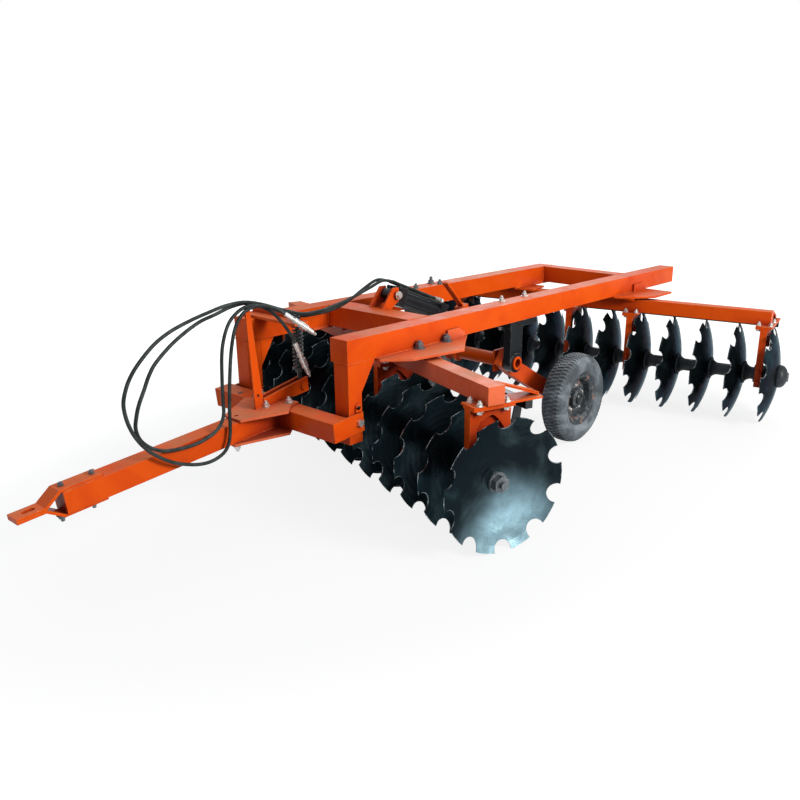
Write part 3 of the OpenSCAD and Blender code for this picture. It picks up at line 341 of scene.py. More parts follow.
# %% Black enamel and castings
black_enamel, t, s = new_material("black_enamel", Specular_IOR_Level=0.3, Coat_Weight=0.2,
                                  Coat_Roughness=0.08)
# Grey dust, and a painted sheen, on the faces that look up.
colour = mix(t, dusted_and_lit(t, 9, 0.16), (0.008, 0.011, 0.014), (0.12, 0.12, 0.12))
# Worn edges, which are also a painted silver highlight on the edges.
colour = mix(t, worn_and_lit(t, 0.004, 30, 0.8), colour, (0.36, 0.41, 0.44))
colour_and_gloss(t, s, colour, stained(t, 12, 0.3, 0.7), 0.25, 0.5)
fine_bump(t, s, 140, 0.15, radius=0.002)

black_casting, t, s = new_material("black_casting", Metallic=0.2)
colour = mix(t, stained(t, 8, 0.4, 0.7), (0.012, 0.016, 0.021), (0.036, 0.046, 0.058))
colour = mix(t, worn_and_lit(t, 0.003, 25, 0.6), colour, (0.24, 0.25, 0.27))
colour_and_gloss(t, s, colour, stained(t, 20, 0.3, 0.7), 0.42, 0.7)
fine_bump(t, s, 220, 0.35)

# %% Plated steel, chromed rod and dark bolts
zinc, t, s = new_material("zinc_plate", Metallic=0.75)
colour = mix(t, stained(t, 40, 0.35, 0.7), (0.74, 0.75, 0.74), (0.50, 0.49, 0.46))
colour_and_gloss(t, s, colour, stained(t, 70, 0.3, 0.7), 0.22, 0.42)
fine_bump(t, s, 300, 0.08)

chrome, t, s = new_material("chrome_rod", Metallic=1.0)
colour = mix(t, stained(t, 20, 0.5, 0.8), (0.75, 0.76, 0.77), (0.55, 0.52, 0.48))
colour_and_gloss(t, s, colour, stained(t, 30, 0.3, 0.7), 0.08, 0.2)

dark_bolt, t, s = new_material("dark_bolt", Metallic=0.6)
colour = mix(t, stained(t, 60, 0.4, 0.7), (0.11, 0.13, 0.15), (0.24, 0.25, 0.26))
colour_and_gloss(t, s, colour, stained(t, 80, 0.3, 0.7), 0.35, 0.6)

# %% Rubber of the tyres and hoses
tyre_rubber, t, s = new_material("tyre_rubber", Specular_IOR_Level=0.35)
colour = mix(t, stained(t, 7, 0.35, 0.7), (0.055, 0.068, 0.080), (0.220, 0.265, 0.300))
# Grey dust, and a painted sheen, on the faces that look up.
colour = mix(t, dusted_and_lit(t, 14, 0.6), colour, (0.24, 0.25, 0.26))
colour = mix(t, worn_and_lit(t, 0.003, 40, 0.4), colour, (0.14, 0.14, 0.14))
colour_and_gloss(t, s, colour, stained(t, 25, 0.3, 0.7), 0.6, 0.85)
fine_bump(t, s, 260, 0.25)

hose_rubber, t, s = new_material("hose_rubber", Specular_IOR_Level=0.22)
colour = mix(t, stained(t, 11, 0.4, 0.7), (0.014, 0.021, 0.021), (0.044, 0.058, 0.056))
colour_and_gloss(t, s, colour, stained(t, 30, 0.3, 0.7), 0.38, 0.6)
fine_bump(t, s, 420, 0.2)

# %% [markdown]
# ## Finishes on the frame's own pieces
# The record names a finish for every piece of the frame. Each name is matched with one of the materials.

# %% Dress the CAD pieces
FINISH = {"orange_paint": enamel, "disc_steel": disc_steel, "black_casting": black_casting,
          "black_steel": black_enamel, "tyre": tyre_rubber, "hose_rubber": hose_rubber, "zinc": zinc,
          "chrome_rod": chrome}
slot_of = {p["node"]: p["material_slot"] for p in frame["record"]["subparts"]}
for name, piece in frame["nodes"].items():
    finish = caked if name.startswith("wheel_rim") else FINISH[slot_of[name]]
    if name == "level_spring":
        finish = black_enamel
    if name in ("front_angle_plates", "drawbar_gussets", "front_gang_beam"):
        finish = chalky
    if name.endswith("gang_stands"):
        finish = sheen_dusty
    if name.endswith("gang_axle"):
        finish = dark_bolt
    for slot in piece.material_slots:
        slot.material = finish
    if not piece.material_slots:
        piece.data.materials.append(finish)
print(len(frame["nodes"]), "pieces dressed")

# %% [markdown]
# ## Hoses
# Two rubber hoses bring oil to the ram. Each leaves its steel line over the ram's front cap, sags across the
# frame, passes over the post and hangs in a loop beside the drawbar, so that there is slack to reach the
# tractor. It comes back over the post and ends in its coupler. A smooth curve is drawn through the points
# of the construction, and made a mesh.

# %% Hose routes
HOSE = 0.017
LINE_GAP = 0.0015  # the hose stops short of its steel line
RAM_PIN = (-50, 802, 982.656)
ram_pin = at(*RAM_PIN)
fall = math.radians(21.128)
along = Vector((0, math.cos(fall), -math.sin(fall)))
above = Vector((0, math.sin(fall), math.cos(fall)))


def line_end(x):
    """Where a steel line on the ram ends."""
    return ram_pin + Vector((x, 0, 0)) / 1000 + along * 0.020 + above * 0.070


HOSE_ONE = [(-28, 720, 1070), (-29, 620, 1042), (-28, 465, 1000), (-20, 350, 982), (-6, 240, 972),
            (4, 105, 975), (-2, -20, 1012), (-8, -135, 1054), (-6, -245, 1079.4), (0, -355, 1077.4),
            (5, -445, 1062), (15, -555, 1040), (22, -665, 1008), (30, -755, 965), (40, -840, 900),
            (45, -890, 845), (48, -920, 790), (50, -935, 735), (55, -930, 665), (60, -910, 600),
            (62, -875, 540), (65, -825, 485), (65, -750, 430), (65, -660, 390), (65, -580, 372),
            (62, -515, 375), (60, -465, 395), (56, -435, 430), (52, -418, 490), (45, -408, 590),
            (36, -388, 730), (30, -362, 870), (28, -330, 970), (28, -285, 1030), (29, -225, 1056),
            (32, -155, 1052), (34, -95, 1032), (29.2, -62.2, 1018.3), (38, -40, 1000)]
HOSE_TWO = [(-72, 720, 1070), (-71, 620, 1036), (-66, 500, 985), (-64, 390, 955), (-68, 275, 943),
            (-70, 135, 949), (-58, 0, 995), (-40, -105, 1040), (-26, -215, 1068), (-24, -310, 1062),
            (-20, -400, 1040), (-10, -505, 1016), (0, -635, 955), (14, -740, 885), (20, -785, 835),
            (25, -820, 775), (30, -855, 715), (34, -875, 665), (36, -885, 615), (40, -872, 562),
            (42, -830, 515), (42, -775, 485), (42, -715, 472), (42, -635, 468), (42, -555, 478),
            (42, -480, 510), (38, -440, 565), (28, -428, 640), (24, -422, 730), (12, -400, 875),
            (4, -355, 980), (6, -300, 1036), (8, -235, 1060), (11, -165, 1050), (14, -95, 1010),
            (17, -35, 945), (15.9, 20.2, 865), (20, 30, 837)]


def smooth_line(points, steps=6):
    """Points on a smooth line through the given ones."""
    ends = [points[0] * 2 - points[1]] + points + [points[-1] * 2 - points[-2]]
    line = []
    for a, b, c, d in zip(ends, ends[1:], ends[2:], ends[3:]):
        for k in range(steps):
            u = k / steps
            line.append(0.5 * (2 * b + (c - a) * u + (2 * a - 5 * b + 4 * c - d) * u * u
                               + (3 * b - a - 3 * c + d) * u ** 3))
    return line + [points[-1]]


# %% Make the hoses
def to_piece(bm, name, material, body, sharp=35):
    """A finished piece from a bmesh, riding on a CAD body, with its edges sharp past an angle in degrees."""
    mesh = bpy.data.meshes.new(name)
    bm.to_mesh(mesh)
    bm.free()
    mesh.materials.append(material)
    mesh.shade_smooth()
    mesh.set_sharp_from_angle(angle=math.radians(sharp))
    piece = bpy.data.objects.new(name, mesh)
    scene.collection.objects.link(piece)
    if body:
        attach(piece, body)
    return piece


def tube_along(bm, line, radius, sides=14):
    """A tube swept along a line, with one radius or one for each point."""
    rings = []
    radii = radius if isinstance(radius, list) else [radius] * len(line)
    lean = Vector((0.31, 0.17, 0.93))
    for i, p in enumerate(line):
        d = (line[min(i + 1, len(line) - 1)] - line[max(i - 1, 0)]).normalized()
        u = d.cross(lean).normalized() if i == 0 else (u - d * u.dot(d)).normalized()
        v = d.cross(u)
        made = bmesh.ops.create_circle(bm, cap_ends=i in (0, len(line) - 1), segments=sides, radius=radii[i],
                                       matrix=Matrix.Translation(p) @ Matrix((u, v, d)).transposed().to_4x4())
        rings.append(list({e for w in made["verts"] for e in w.link_edges}))
    for a, b in zip(rings, rings[1:]):
        bmesh.ops.bridge_loops(bm, edges=a + b)
    bmesh.ops.recalc_face_normals(bm, faces=bm.faces)


def hose(name, x, points):
    start = line_end(x) - along * LINE_GAP
    line = smooth_line([start, start - along * 0.045] + [at(*p) for p in points])
    bm = bmesh.new()
    tube_along(bm, line, HOSE / 2)
    piece = to_piece(bm, name, hose_rubber, None)
    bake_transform(piece)
    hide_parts(name)
    return piece


hose("hose_one", 22, HOSE_ONE)
hose("hose_two", -22, HOSE_TWO)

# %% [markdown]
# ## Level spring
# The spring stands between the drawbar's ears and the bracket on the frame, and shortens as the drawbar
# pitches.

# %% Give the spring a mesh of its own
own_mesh(frame["nodes"]["level_spring"])

# %% [markdown]
# ## Bolts, nuts and washers
# One hexagon, one washer and one stud are enough to make every fastener. They are stood on their place by a
# matrix, and the fasteners of one finish on one body are joined into one mesh.

# %% Fastener shapes
def standing(place, axis, spin=0.3):
    """The matrix that stands a shape made along Z on a place, pointing along an axis."""
    return Matrix.Translation(place) @ Vector(axis).to_track_quat("Z", "Y").to_matrix().to_4x4() \
        @ Matrix.Rotation(spin, 4, "Z")


def round_bar(bm, matrix, radius, height, z=0.0, end=None, sides=24):
    """A short bar from height z, that narrows to the radius end."""
    bmesh.ops.create_cone(bm, cap_ends=True, segments=sides, radius1=radius,
                          radius2=radius if end is None else end, depth=height,
                          matrix=matrix @ Matrix.Translation((0, 0, z + height / 2)))


def hexagon(bm, matrix, across, height, z=0.0):
    """A hexagon with its top corners turned down."""
    corner = across / math.sqrt(3)
    round_bar(bm, matrix, corner, height * 0.85, z, sides=6)
    round_bar(bm, matrix, corner, height * 0.15, z + height * 0.85, corner * 0.86, 6)


def bolt(bm, place, axis, across, stud=0.0, washer=True, spin=0.3, high=0.62):
    """A hexagon on a washer, with the end of a stud beyond it where it is a nut."""
    m = standing(place, axis, spin)
    z = 0.0
    if washer:
        z = across * 0.12
        round_bar(bm, m, across * 0.82, z)
    hexagon(bm, m, across, across * high, z)
    if stud:
        z += across * high
        round_bar(bm, m, across * 0.32, stud * 0.8, z, sides=16)
        round_bar(bm, m, across * 0.32, stud * 0.2, z + stud * 0.8, across * 0.26, 16)


def join(bm, part):
    """Add one bmesh to another and free it."""
    mesh = bpy.data.meshes.new("part")
    part.to_mesh(mesh)
    part.free()
    bm.from_mesh(mesh)
    bpy.data.meshes.remove(mesh)


# %% [markdown]
# ## Weld beads
# The frame is welded by hand. A bead is a thin rope laid in the corner between two pieces, with the ripples
# that the puddle leaves every few millimetres.

# %% Weld bead shape
rng = random.Random(11)


def bead(bm, points, radius=0.0045, pitch=0.006):
    """A rippled bead along a line of points."""
    line = []
    for a, b in zip(points, points[1:]):
        steps = max(2, round((b - a).length / pitch))
        line += [a.lerp(b, k / steps) for k in range(steps)]
    line.append(points[-1])
    radii = [radius * (0.85 + 0.28 * (i % 2) + rng.uniform(-0.08, 0.08)) for i in range(len(line))]
    radii[0] = radii[-1] = radius * 0.5
    one = bmesh.new()
    tube_along(one, line, radii, 6)
    join(bm, one)


# %% [markdown]
# ## Where things are bolted and welded
# The two gangs stand at their own angles under the frame, and the ram and the drawbar slope. Each has its own
# axes, so that a bolt or a bead is placed by plain distances on the piece that it belongs to.

# %% Axes of the gangs, the ram and the drawbar
FRONT_TURN = Matrix.Rotation(math.radians(-18.4), 4, "Z")
FRONT = Matrix.Translation((38, 601, 0)) @ FRONT_TURN
REAR = Matrix.Translation((212, 2725, 0)) @ Matrix.Rotation(math.radians(11.5), 4, "Z")
DRAWBAR = Matrix.Translation((-25, 55, 496.656)) @ Matrix.Rotation(math.radians(5.5), 4, "X")
RAM = Matrix.Translation(RAM_PIN) @ Matrix.Rotation(-fall, 4, "X")


def on(axes, x, y, z):
    """A point given in millimetres in some axes."""
    return at(*(axes @ Vector((x, y, z))))


def turn_of(axes, x, y, z):
    """A direction given in some axes."""
    return axes.to_3x3() @ Vector((x, y, z))


UNDER, TOP = 797.656, 915.656  # the frame's underside and top
STAND_TOP, STAND_PLATE = 679.656, 22  # the top of the stands' plates, and their thickness
AXLE_Z, ROCKSHAFT_Z = 326.656, 539.656
GANG_END, DISC_PITCH = 1265, 230  # from the gang's middle to its last disc, and from disc to disc
STANDS = (0, 4, 6, 10)  # the gaps between discs that a stand reaches through
GANGS = ((FRONT, 1, 24), (REAR, -1, -9))  # axes, which way the stands are set off, the beam's middle line


def stand_x(gap, lean):
    """Where a stand is along its gang."""
    return GANG_END - DISC_PITCH * gap - DISC_PITCH // 2 - lean * 73


# %% Fasteners of the frame
dark, bright = bmesh.new(), bmesh.new()
for x, ys in ((460, (488, 707)), (-460, (738, 957))):
    for y, spin, plates in zip(ys, (0.5, 0.1), (28, 14)):
        bolt(dark, at(x, y, UNDER), (0, 0, 1), 0.038, 0.010, spin=spin, high=0.7)
        bolt(bright, at(x, y, UNDER - plates), (0, 0, -1), 0.030, 0.008)
for x, ys in ((520, (2850, 2990)), (-520, (2700, 2840))):
    for y in ys:
        bolt(bright, at(x, y, UNDER - 14), (0, 0, -1), 0.030, 0.008)
for x in (347, -347):
    for y in (1358, 1598):
        bolt(bright if x > 0 else dark, at(x, y, TOP), (0, 0, 1), 0.027, 0.012, spin=0.4)
        bolt(bright, at(x, y, UNDER - 36), (0, 0, -1), 0.027)
bolt(dark, at(-405, 1575, TOP), (0, 0, 1), 0.034, 0.022, spin=0.4)

# %% Fasteners of the stands and bearings
painted = bmesh.new()
for axes, lean, back in GANGS:
    for gap in STANDS:
        x = stand_x(gap, lean)
        for y in (back - 76, back + 76):
            bolt(bright, on(axes, x + lean * 41, y, STAND_TOP), (0, 0, 1), 0.024, 0.009, spin=0.7)
            bolt(bright, on(axes, x - lean * 36, y, STAND_TOP), (0, 0, 1), 0.024, 0.009, spin=0.2)
            bolt(bright, on(axes, x + lean * 41, y, STAND_TOP - STAND_PLATE), (0, 0, -1), 0.024)
        for dz in (-34, 34):
            bolt(painted, on(axes, x, back - 115, AXLE_Z + dz), turn_of(axes, 0, -1, 0), 0.024, high=0.5)
to_piece(painted, "stand_bolts", enamel, "frame")
to_piece(dark, "frame_dark_bolts", dark_bolt, "frame")
to_piece(bright, "frame_plated_bolts", zinc, "frame")

# %% [markdown]
# ## Small plates
# A lug stands on the left front leg. Its hole isn't cut: a thin dark disc on the lug's face stands for it, as
# painted shade.
# Thin web plates stiffen the front stands, and a gusset stands inside each front leg.

# %% Lug on the front leg, and the dark disc of painted shade that stands for its hole
lug, hole_shade = bmesh.new(), bmesh.new()
LUG_Y, LUG_WIDE, LUG_THICK = 54, 0.032, 0.010
m = standing(at(BEAM_OUT, LUG_Y, 578), (1, 0, 0))
round_bar(lug, m, LUG_WIDE / 2, LUG_THICK)
lug_size = Vector((LUG_THICK, LUG_WIDE, 0.026))
bmesh.ops.create_cube(lug, size=1, matrix=Matrix.LocRotScale(at(BEAM_OUT + 5, LUG_Y, 565), None, lug_size))
# The dark disc is painted shade where the lug's hole would be.
round_bar(hole_shade, m, 0.0065, 0.0002, LUG_THICK + 0.0002)
to_piece(lug, "leg_lug", enamel, "frame")
to_piece(hole_shade, "leg_lug_hole_shade", black_casting, "frame")

# %% Web plates in the front gang's stands
webs = bmesh.new()
WEB_SIZE = (0.008, 0.200, 0.114, 1)
for gap in STANDS:
    place = Matrix.Translation(on(FRONT, stand_x(gap, 1), 24, 600))
    bmesh.ops.create_cube(webs, size=1, matrix=place @ FRONT_TURN @ Matrix.Diagonal(WEB_SIZE))
to_piece(webs, "stand_webs", sheen_dusty, "frame")

# %% Inner gussets of the front legs
LEG_IN, LEG_BACK, GUSSET_LONG, GUSSET_DEEP, GUSSET_T = 339.5, 90, 94, 155, 0.012
for s in (1, -1):
    plate = bmesh.new()
    corners = ((LEG_BACK, 0), (LEG_BACK + GUSSET_LONG, 0), (LEG_BACK, -GUSSET_DEEP))
    flat = [plate.verts.new(at(s * LEG_IN, y, UNDER + z)) for y, z in corners]
    made = bmesh.ops.extrude_face_region(plate, geom=[plate.faces.new(flat)])
    bmesh.ops.translate(plate, verts=[v for v in made["geom"] if isinstance(v, bmesh.types.BMVert)],
                        vec=(s * GUSSET_T, 0, 0))
    bmesh.ops.recalc_face_normals(plate, faces=plate.faces)
    to_piece(plate, "leg_gusset_" + ("left" if s > 0 else "right"), enamel, "frame")

# %% Welds of the frame
welds = bmesh.new()
PLATE_WELDS = {1: ((205, 910), (2605, 3075)), -1: ((455, 1160), (2452, 2920))}  # by side, along the beams
for s in (1, -1):
    for y0, y1 in ((566, 726), (2820, 2938)):
        for y in (y0, y1):
            bead(welds, [at(s * BEAM_IN, y, UNDER + 4), at(s * BEAM_IN, y, TOP - 1)])
        bead(welds, [at(s * BEAM_IN, y0, TOP), at(s * BEAM_IN, y1, TOP)], 0.0035)
    bead(welds, [at(s * LEG_IN, 0, UNDER), at(s * BEAM_OUT, 0, UNDER), at(s * BEAM_OUT, 88, UNDER)])
    x = s * (BEAM_OUT - 12)  # the inner face of the outer gusset
    bead(welds, [at(x, LEG_BACK, UNDER - 2), at(x, LEG_BACK + GUSSET_LONG, UNDER - 2)])
    bead(welds, [at(x, LEG_BACK, UNDER - GUSSET_DEEP), at(x, LEG_BACK, UNDER - 4)])
    for first, last in PLATE_WELDS[s]:
        bead(welds, [at(s * 436, first, UNDER), at(s * 436, last, UNDER)], 0.004)
    for dx, y, radius in ((50, 688, 0.0045), (43, 690, 0.0035)):
        bead(welds, [at(RAM_PIN[0] + s * dx, y, TOP), at(RAM_PIN[0] + s * dx, 724, TOP)], radius)
for axes, lean, back in GANGS:
    for gap in STANDS:
        z = STAND_TOP - STAND_PLATE
        for s in (1, -1):
            x = stand_x(gap, lean) + s * 23
            bead(welds, [on(axes, x, back - 112, z), on(axes, x, back + 112, z)])
    for s in (1, -1):
        for gap in (STANDS[0], STANDS[-1]):
            x = stand_x(gap, lean) + s * 25
            bead(welds, [on(axes, x, back + 46, 767), on(axes, x, back + 274, 692)], 0.003)
to_piece(welds, "frame_welds", enamel, "frame")

# %% Fasteners and welds of the drawbar
bright, welds, dark = bmesh.new(), bmesh.new(), bmesh.new()
TUBE, PLATE = 50, 62  # from the drawbar's middle line to its faces, and to the plates on them
up_bar, down_bar = turn_of(DRAWBAR, 0, 0, 1), turn_of(DRAWBAR, 0, 0, -1)
for y in (-1128, -1264):
    bolt(dark, on(DRAWBAR, 0, y, PLATE), up_bar, 0.022, 0.004, washer=False)
for x, y in ((-180, -128), (-284, -138)):
    bolt(dark, on(DRAWBAR, x, y, TUBE), up_bar, 0.018, washer=False, high=0.25)
for y in (-1150, -1290):
    bolt(dark, on(DRAWBAR, 0, y, -PLATE), down_bar, 0.026, 0.012)
for x, y in ((-154, -101), (80, -105), (20, -205)):
    bolt(bright, on(DRAWBAR, x, y, PLATE), up_bar, 0.026, 0.012, spin=0.6)
for x in (50, -50):
    bolt(bright, on(DRAWBAR, x, -430, -PLATE), down_bar, 0.026, 0.012, spin=0.6)
for s in (1, -1):
    for z in (TUBE, -TUBE):
        bead(welds, [on(DRAWBAR, s * 42, -1102, z), on(DRAWBAR, s * 42, -1276, z)])
    bead(welds, [on(DRAWBAR, s * TUBE, -170, -48), on(DRAWBAR, s * TUBE, -170, 48)], 0.005)
    bead(welds, [on(DRAWBAR, -s * 42, -1102, s * TUBE), on(DRAWBAR, s * 42, -1102, s * TUBE)])
    bead(welds, [on(DRAWBAR, TUBE, -172, s * TUBE), on(DRAWBAR, TUBE, -396, s * TUBE)], 0.0035)
bead(welds, [on(DRAWBAR, 6, -267, PLATE), on(DRAWBAR, 6, -222, PLATE)])
post_foot = ((15.5, -267), (15.5, -214), (-18, -212.5))
bead(welds, [on(DRAWBAR, x, y, PLATE) for x, y in post_foot])
to_piece(bright, "drawbar_plated_bolts", zinc, "drawbar")
to_piece(dark, "drawbar_dark_bolts", dark_bolt, "drawbar")
to_piece(welds, "drawbar_welds", enamel, "drawbar")

# %% Welds of the rockshaft
def ring_line(centre, axis, radius, steps=36):
    """Points round an axis, the last on the first."""
    m = standing(centre, axis, 0.0)
    turns = [2 * math.pi * k / steps for k in range(steps + 1)]
    return [m @ Vector((radius * math.cos(a), radius * math.sin(a), 0)) for a in turns]


welds = bmesh.new()
for x in (300, 312, 324.5, -300, -312, -324.5, -94, -78, -22, -6):
    bead(welds, ring_line(at(x, 1400, ROCKSHAFT_Z), (1, 0, 0), 0.0425), 0.004)
to_piece(welds, "rockshaft_welds", enamel, "rockshaft")

# %% [markdown]
# ## The ram's small pieces
# Four tie rods clamp the ram's two caps on its barrel, so their nuts show at both ends. A bolt's head and nut
# show on the pin in the lugs, and each line meets the rear cap in an elbow with two union nuts. A bent strap
# over the rod's eye is the stroke lock for the road.

# %% Ram hardware
bright, dark = bmesh.new(), bmesh.new()
for x in (-44, 44):
    for z in (-44, 44):
        hexagon(dark, standing(on(RAM, x, 32, z), turn_of(RAM, 0, -1, 0)), 0.024, 0.014)
        hexagon(dark, standing(on(RAM, x, 470, z), turn_of(RAM, 0, 1, 0)), 0.024, 0.016)
for x in (-22, 22):
    m = standing(on(RAM, x, 372, 70), turn_of(RAM, 0, 1, 0))
    round_bar(bright, m, 0.0115, 0.034)
    hexagon(bright, m, 0.027, 0.022, 0.034)
    bmesh.ops.create_uvsphere(bright, u_segments=20, v_segments=12, radius=0.0135,
                              matrix=Matrix.Translation(on(RAM, x, 448, 70)))
    hexagon(bright, standing(on(RAM, x, 443, 56), turn_of(RAM, 0, 0, 1)), 0.028, 0.010)
to_piece(dark, "ram_tie_nuts", black_enamel, "ram_body")
to_piece(bright, "ram_unions", zinc, "ram_body")
bright = bmesh.new()
for s in (1, -1):
    bolt(bright, at(RAM_PIN[0] + s * 70, *RAM_PIN[1:]), (s, 0, 0), 0.030, spin=0.2, high=0.5)
to_piece(bright, "ram_pin_bolts", zinc, "frame")


# %% Stroke lock
def strap(bm, points, width, thick, side_way):
    """A bent flat strap through points, its width along a direction."""
    side_way = Vector(side_way).normalized()
    rows = []
    for i, p in enumerate(points):
        a = (p - points[i - 1]).normalized() if i else (points[1] - p).normalized()
        b = (points[i + 1] - p).normalized() if i + 1 < len(points) else a
        d = (a + b).normalized()
        out = d.cross(side_way).normalized() / max(0.4, d.dot(a))
        rows.append([bm.verts.new(p + side_way * width * 0.5 * u + out * thick * 0.5 * v)
                     for u, v in ((-1, -1), (1, -1), (1, 1), (-1, 1))])
    for a, b in zip(rows, rows[1:]):
        for k in range(4):
            bm.faces.new((a[k], a[(k + 1) % 4], b[(k + 1) % 4], b[k]))
    bm.faces.new(rows[0][::-1])
    bm.faces.new(rows[-1])
    bmesh.ops.recalc_face_normals(bm, faces=bm.faces)


lock = bmesh.new()
strap(lock, [at(-50, 1462, 768), at(-50, 1476, 812), at(-50, 1300, 989)], 0.044, 0.010, (1, 0, 0))
strap(lock, [at(-50, 1436, 805), at(-50, 1500, 826)], 0.060, 0.024, (1, 0, 0))
to_piece(lock, "stroke_lock", enamel, "ram_rod")

# %% [markdown]
# ## Wheels
# The tyres are worn field tyres: rows of short bars across the tread, the outer ones running over the
# shoulders. One row of bars is made and then turned round the axle. The steel wheel keeps its solid and gains
# its nuts, a valve and a grease cap.

# %% Tyres
HUB_X, HUB_Y, HUB_Z = 652, 1745, 285
SECTION = [(49.5, 153), (57, 166.5), (63, 171.5), (68, 175), (73, 183), (75, 186), (78.5, 196),
           (79.8, 214), (79.0, 232), (77, 243), (73.5, 251), (70, 257), (66, 262), (58, 268), (45, 273),
           (25, 276), (0, 277)]  # half the tyre's section: distance from its middle, and radius
BARS = 68  # in each row round the tyre
ROWS = ((-21, 21, 284.6, 284.6, 3.5, 0.5), (25, 52, 284.4, 279.0, 2.5, 0), (52, 76, 279.2, 250.0, 1.0, 0),
        (-52, -25, 279.0, 284.4, 2.5, 0), (-76, -52, 250.0, 279.2, 1.0, 0))  # ends, their radii, skew, offset
BAR_WIDE, BAR_DEEP = 13, 12


def tread_bar(bm, x0, x1, r0, r1, skew):
    """One bar of the tread, its two ends at x0 and x1 with their own radii, skewed round the tyre."""
    corners = bmesh.ops.create_cube(bm, size=1)["verts"]
    for v in corners:
        end = v.co.x > 0
        x, r = (x1, r1) if end else (x0, r0)
        out = v.co.z > 0
        y = v.co.y * (BAR_WIDE * 0.78 if out else BAR_WIDE) + (skew if end else -skew)
        v.co = Vector((x, y, r if out else r - BAR_DEEP)) / 1000


def tyre(name, body, side):
    bm, centre = bmesh.new(), at(side * HUB_X, HUB_Y, HUB_Z)
    points = [(x, r) for x, r in SECTION] + [(-x, r) for x, r in reversed(SECTION[:-1])]
    ring = [bm.verts.new(centre + Vector((x, 0, r)) / 1000) for x, r in points]
    edges = [bm.edges.new((a, b)) for a, b in zip(ring, ring[1:] + ring[:1])]
    bmesh.ops.spin(bm, geom=ring + edges, cent=centre, axis=(1, 0, 0), angle=2 * math.pi, steps=120)
    bmesh.ops.remove_doubles(bm, verts=bm.verts, dist=0.00002)
    for *bar, offset in ROWS:
        one = bmesh.new()
        tread_bar(one, *bar)
        bmesh.ops.bevel(one, geom=one.edges[:], offset=0.0012, segments=1, affect="EDGES")
        bmesh.ops.spin(one, geom=one.verts[:] + one.edges[:] + one.faces[:], cent=(0, 0, 0), axis=(1, 0, 0),
                       angle=2 * math.pi * (BARS - 1) / BARS, steps=BARS - 1, use_duplicate=True)
        bmesh.ops.rotate(one, verts=one.verts, matrix=Matrix.Rotation(2 * math.pi * offset / BARS, 3, "X"))
        bmesh.ops.translate(one, verts=one.verts, vec=centre)
        join(bm, one)
    bmesh.ops.recalc_face_normals(bm, faces=bm.faces)
    piece = to_piece(bm, name, tyre_rubber, body, 30)
    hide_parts(name)


tyre("tyre_left", "wheel_left", 1)
tyre("tyre_right", "wheel_right", -1)

# %% Wheel nuts, valve and grease cap
NUTS, NUT_CIRCLE, VALVE_CIRCLE = 5, 0.082, 0.128  # the circles by their radius
CAP_RADIUS, CAP_RISE = 0.036, 0.022


def round_hub(s, out, radius, a):
    """A point on a wheel, out from its middle plane and at an angle round its hub."""
    return at(s * HUB_X, HUB_Y, HUB_Z) + Vector((s * out, radius * math.cos(a), radius * math.sin(a)))


for name, s in (("left", 1), ("right", -1)):
    bright, cap = bmesh.new(), bmesh.new()
    for k in range(NUTS):
        bolt(bright, round_hub(s, 0.004, NUT_CIRCLE, 2 * math.pi * k / NUTS + 0.3), (s, 0, 0), 0.019, 0.006)
    spot = round_hub(s, 0.010, VALVE_CIRCLE, 1.0)
    round_bar(bright, standing(spot, (s, 0, 0)), 0.004, 0.030, end=0.0032, sides=12)
    m = standing(round_hub(s, 0.0415, 0, 0), (s, 0, 0))
    for k in range(4):
        a, b = math.radians(22 * k), math.radians(22 * (k + 1))
        round_bar(cap, m, CAP_RADIUS * math.cos(a), CAP_RISE * (math.sin(b) - math.sin(a)),
                  CAP_RISE * math.sin(a), CAP_RADIUS * math.cos(b), 28)
    to_piece(bright, "wheel_nuts_" + name, zinc, "wheel_" + name)
    to_piece(cap, "grease_cap_" + name, black_enamel, "wheel_" + name)

# %% [markdown]
# ## Light and floor
# A big soft light from the left of the machine and a pale sky all round show the paint's colour plainly. The
# floor is grey to the light that it throws back, so the machine's underside stays dark. The camera and the
# reflections see it lifted to white: partly near the machine, where the shadow has to show, and fully away
# from it.

# %% World and lamps
world = bpy.data.worlds.new("studio")
scene.world = world
world.use_nodes = True
t = world.node_tree
t.nodes.clear()
WORLD_GLOSS, FLOOR_GLOSS = 0.22, 0.9  # how far reflections see the white world and the lifted floor
rays = t.nodes.new("ShaderNodeLightPath")
seen = maths(t, "MAXIMUM", rays.outputs["Is Camera Ray"], rays.outputs["Is Transmission Ray"])
seen = maths(t, "MAXIMUM", seen, maths(t, "MULTIPLY", rays.outputs["Is Glossy Ray"], WORLD_GLOSS))
where = node(t, "ShaderNodeTexCoord")
high_up = node(t, "ShaderNodeSeparateXYZ", {0: where.outputs["Generated"]})
sky = node(t, "ShaderNodeMapRange", {"Value": high_up.outputs["Z"], "From Min": -0.1, "From Max": 0.9,
                                     "To Min": 0.16, "To Max": 0.75}, interpolation_type="SMOOTHSTEP")
soft = node(t, "ShaderNodeBackground", {"Color": (0.90, 0.95, 1.0, 1), "Strength": sky.outputs["Result"]})
white = node(t, "ShaderNodeBackground", {"Color": (1, 1, 1, 1), "Strength": 1.0})
both = node(t, "ShaderNodeMixShader", {0: seen, 1: soft.outputs[0], 2: white.outputs[0]})
link(t, both.outputs[0], t.nodes.new("ShaderNodeOutputWorld").inputs[0])


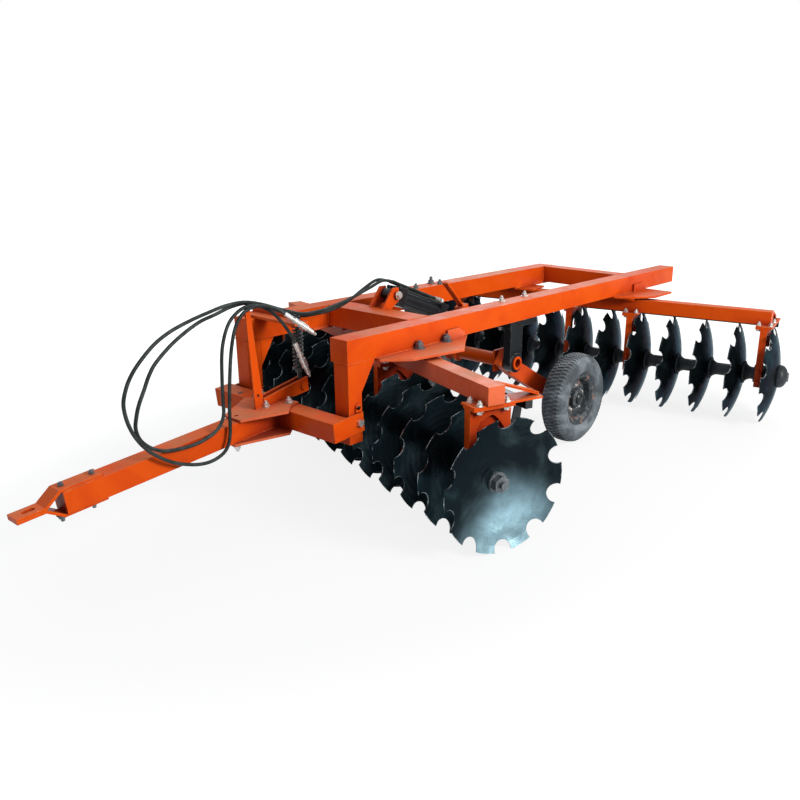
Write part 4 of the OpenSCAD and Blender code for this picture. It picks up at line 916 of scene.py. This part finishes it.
def lamp(name, place, target, width, power, colour):
    data = bpy.data.lights.new(name, "AREA")
    data.shape, data.size, data.energy, data.color = "SQUARE", width, power, colour
    o = bpy.data.objects.new(name, data)
    o.location = place
    o.rotation_euler = (Vector(target) - Vector(place)).to_track_quat("-Z", "Y").to_euler()
    scene.collection.objects.link(o)


lamp("key", (7.5, 0.5, 4.0), (0, 0, 0.5), 2.5, 610, (1.0, 0.96, 0.88))
lamp("back", (-4.0, 6.5, 5.0), (0, 0.5, 0.6), 4.0, 200, (0.92, 0.96, 1.0))

scene.view_settings.view_transform = "Standard"

# %% Floor
NEAR_LIFT, GLOW, FLOOR_HALF = 0.65, 1.30, 40
floor_paint = bpy.data.materials.new("floor")
floor_paint.use_nodes = True
t = floor_paint.node_tree
t.nodes.clear()
where = node(t, "ShaderNodeTexCoord")
flat = node(t, "ShaderNodeVectorMath", {0: where.outputs["Object"], 1: (0.36, 0.24, 0)}, operation="MULTIPLY")
reach = node(t, "ShaderNodeVectorMath", {0: flat.outputs[0]}, operation="LENGTH")
far = ramp_mask(t, reach.outputs["Value"], 0.55, 1.25)
rays = t.nodes.new("ShaderNodeLightPath")
reflected = maths(t, "MULTIPLY", rays.outputs["Is Glossy Ray"], FLOOR_GLOSS)
shown = maths(t, "MAXIMUM", rays.outputs["Is Camera Ray"], reflected)
lift = maths(t, "MULTIPLY", shown, maths(t, "ADD", NEAR_LIFT, maths(t, "MULTIPLY", far, 1 - NEAR_LIFT)))
matt = node(t, "ShaderNodeBsdfDiffuse", {"Color": (0.34, 0.34, 0.35, 1)})
glow = node(t, "ShaderNodeEmission", {"Color": (1, 1, 1, 1), "Strength": GLOW})
both = node(t, "ShaderNodeMixShader", {0: lift, 1: matt.outputs[0], 2: glow.outputs[0]})
link(t, both.outputs[0], t.nodes.new("ShaderNodeOutputMaterial").inputs[0])
bm = bmesh.new()
bmesh.ops.create_grid(bm, x_segments=2, y_segments=2, size=FLOOR_HALF)
bmesh.ops.translate(bm, verts=bm.verts, vec=(0, 0, low.z - 0.0005))
to_piece(bm, "floor", floor_paint, None)
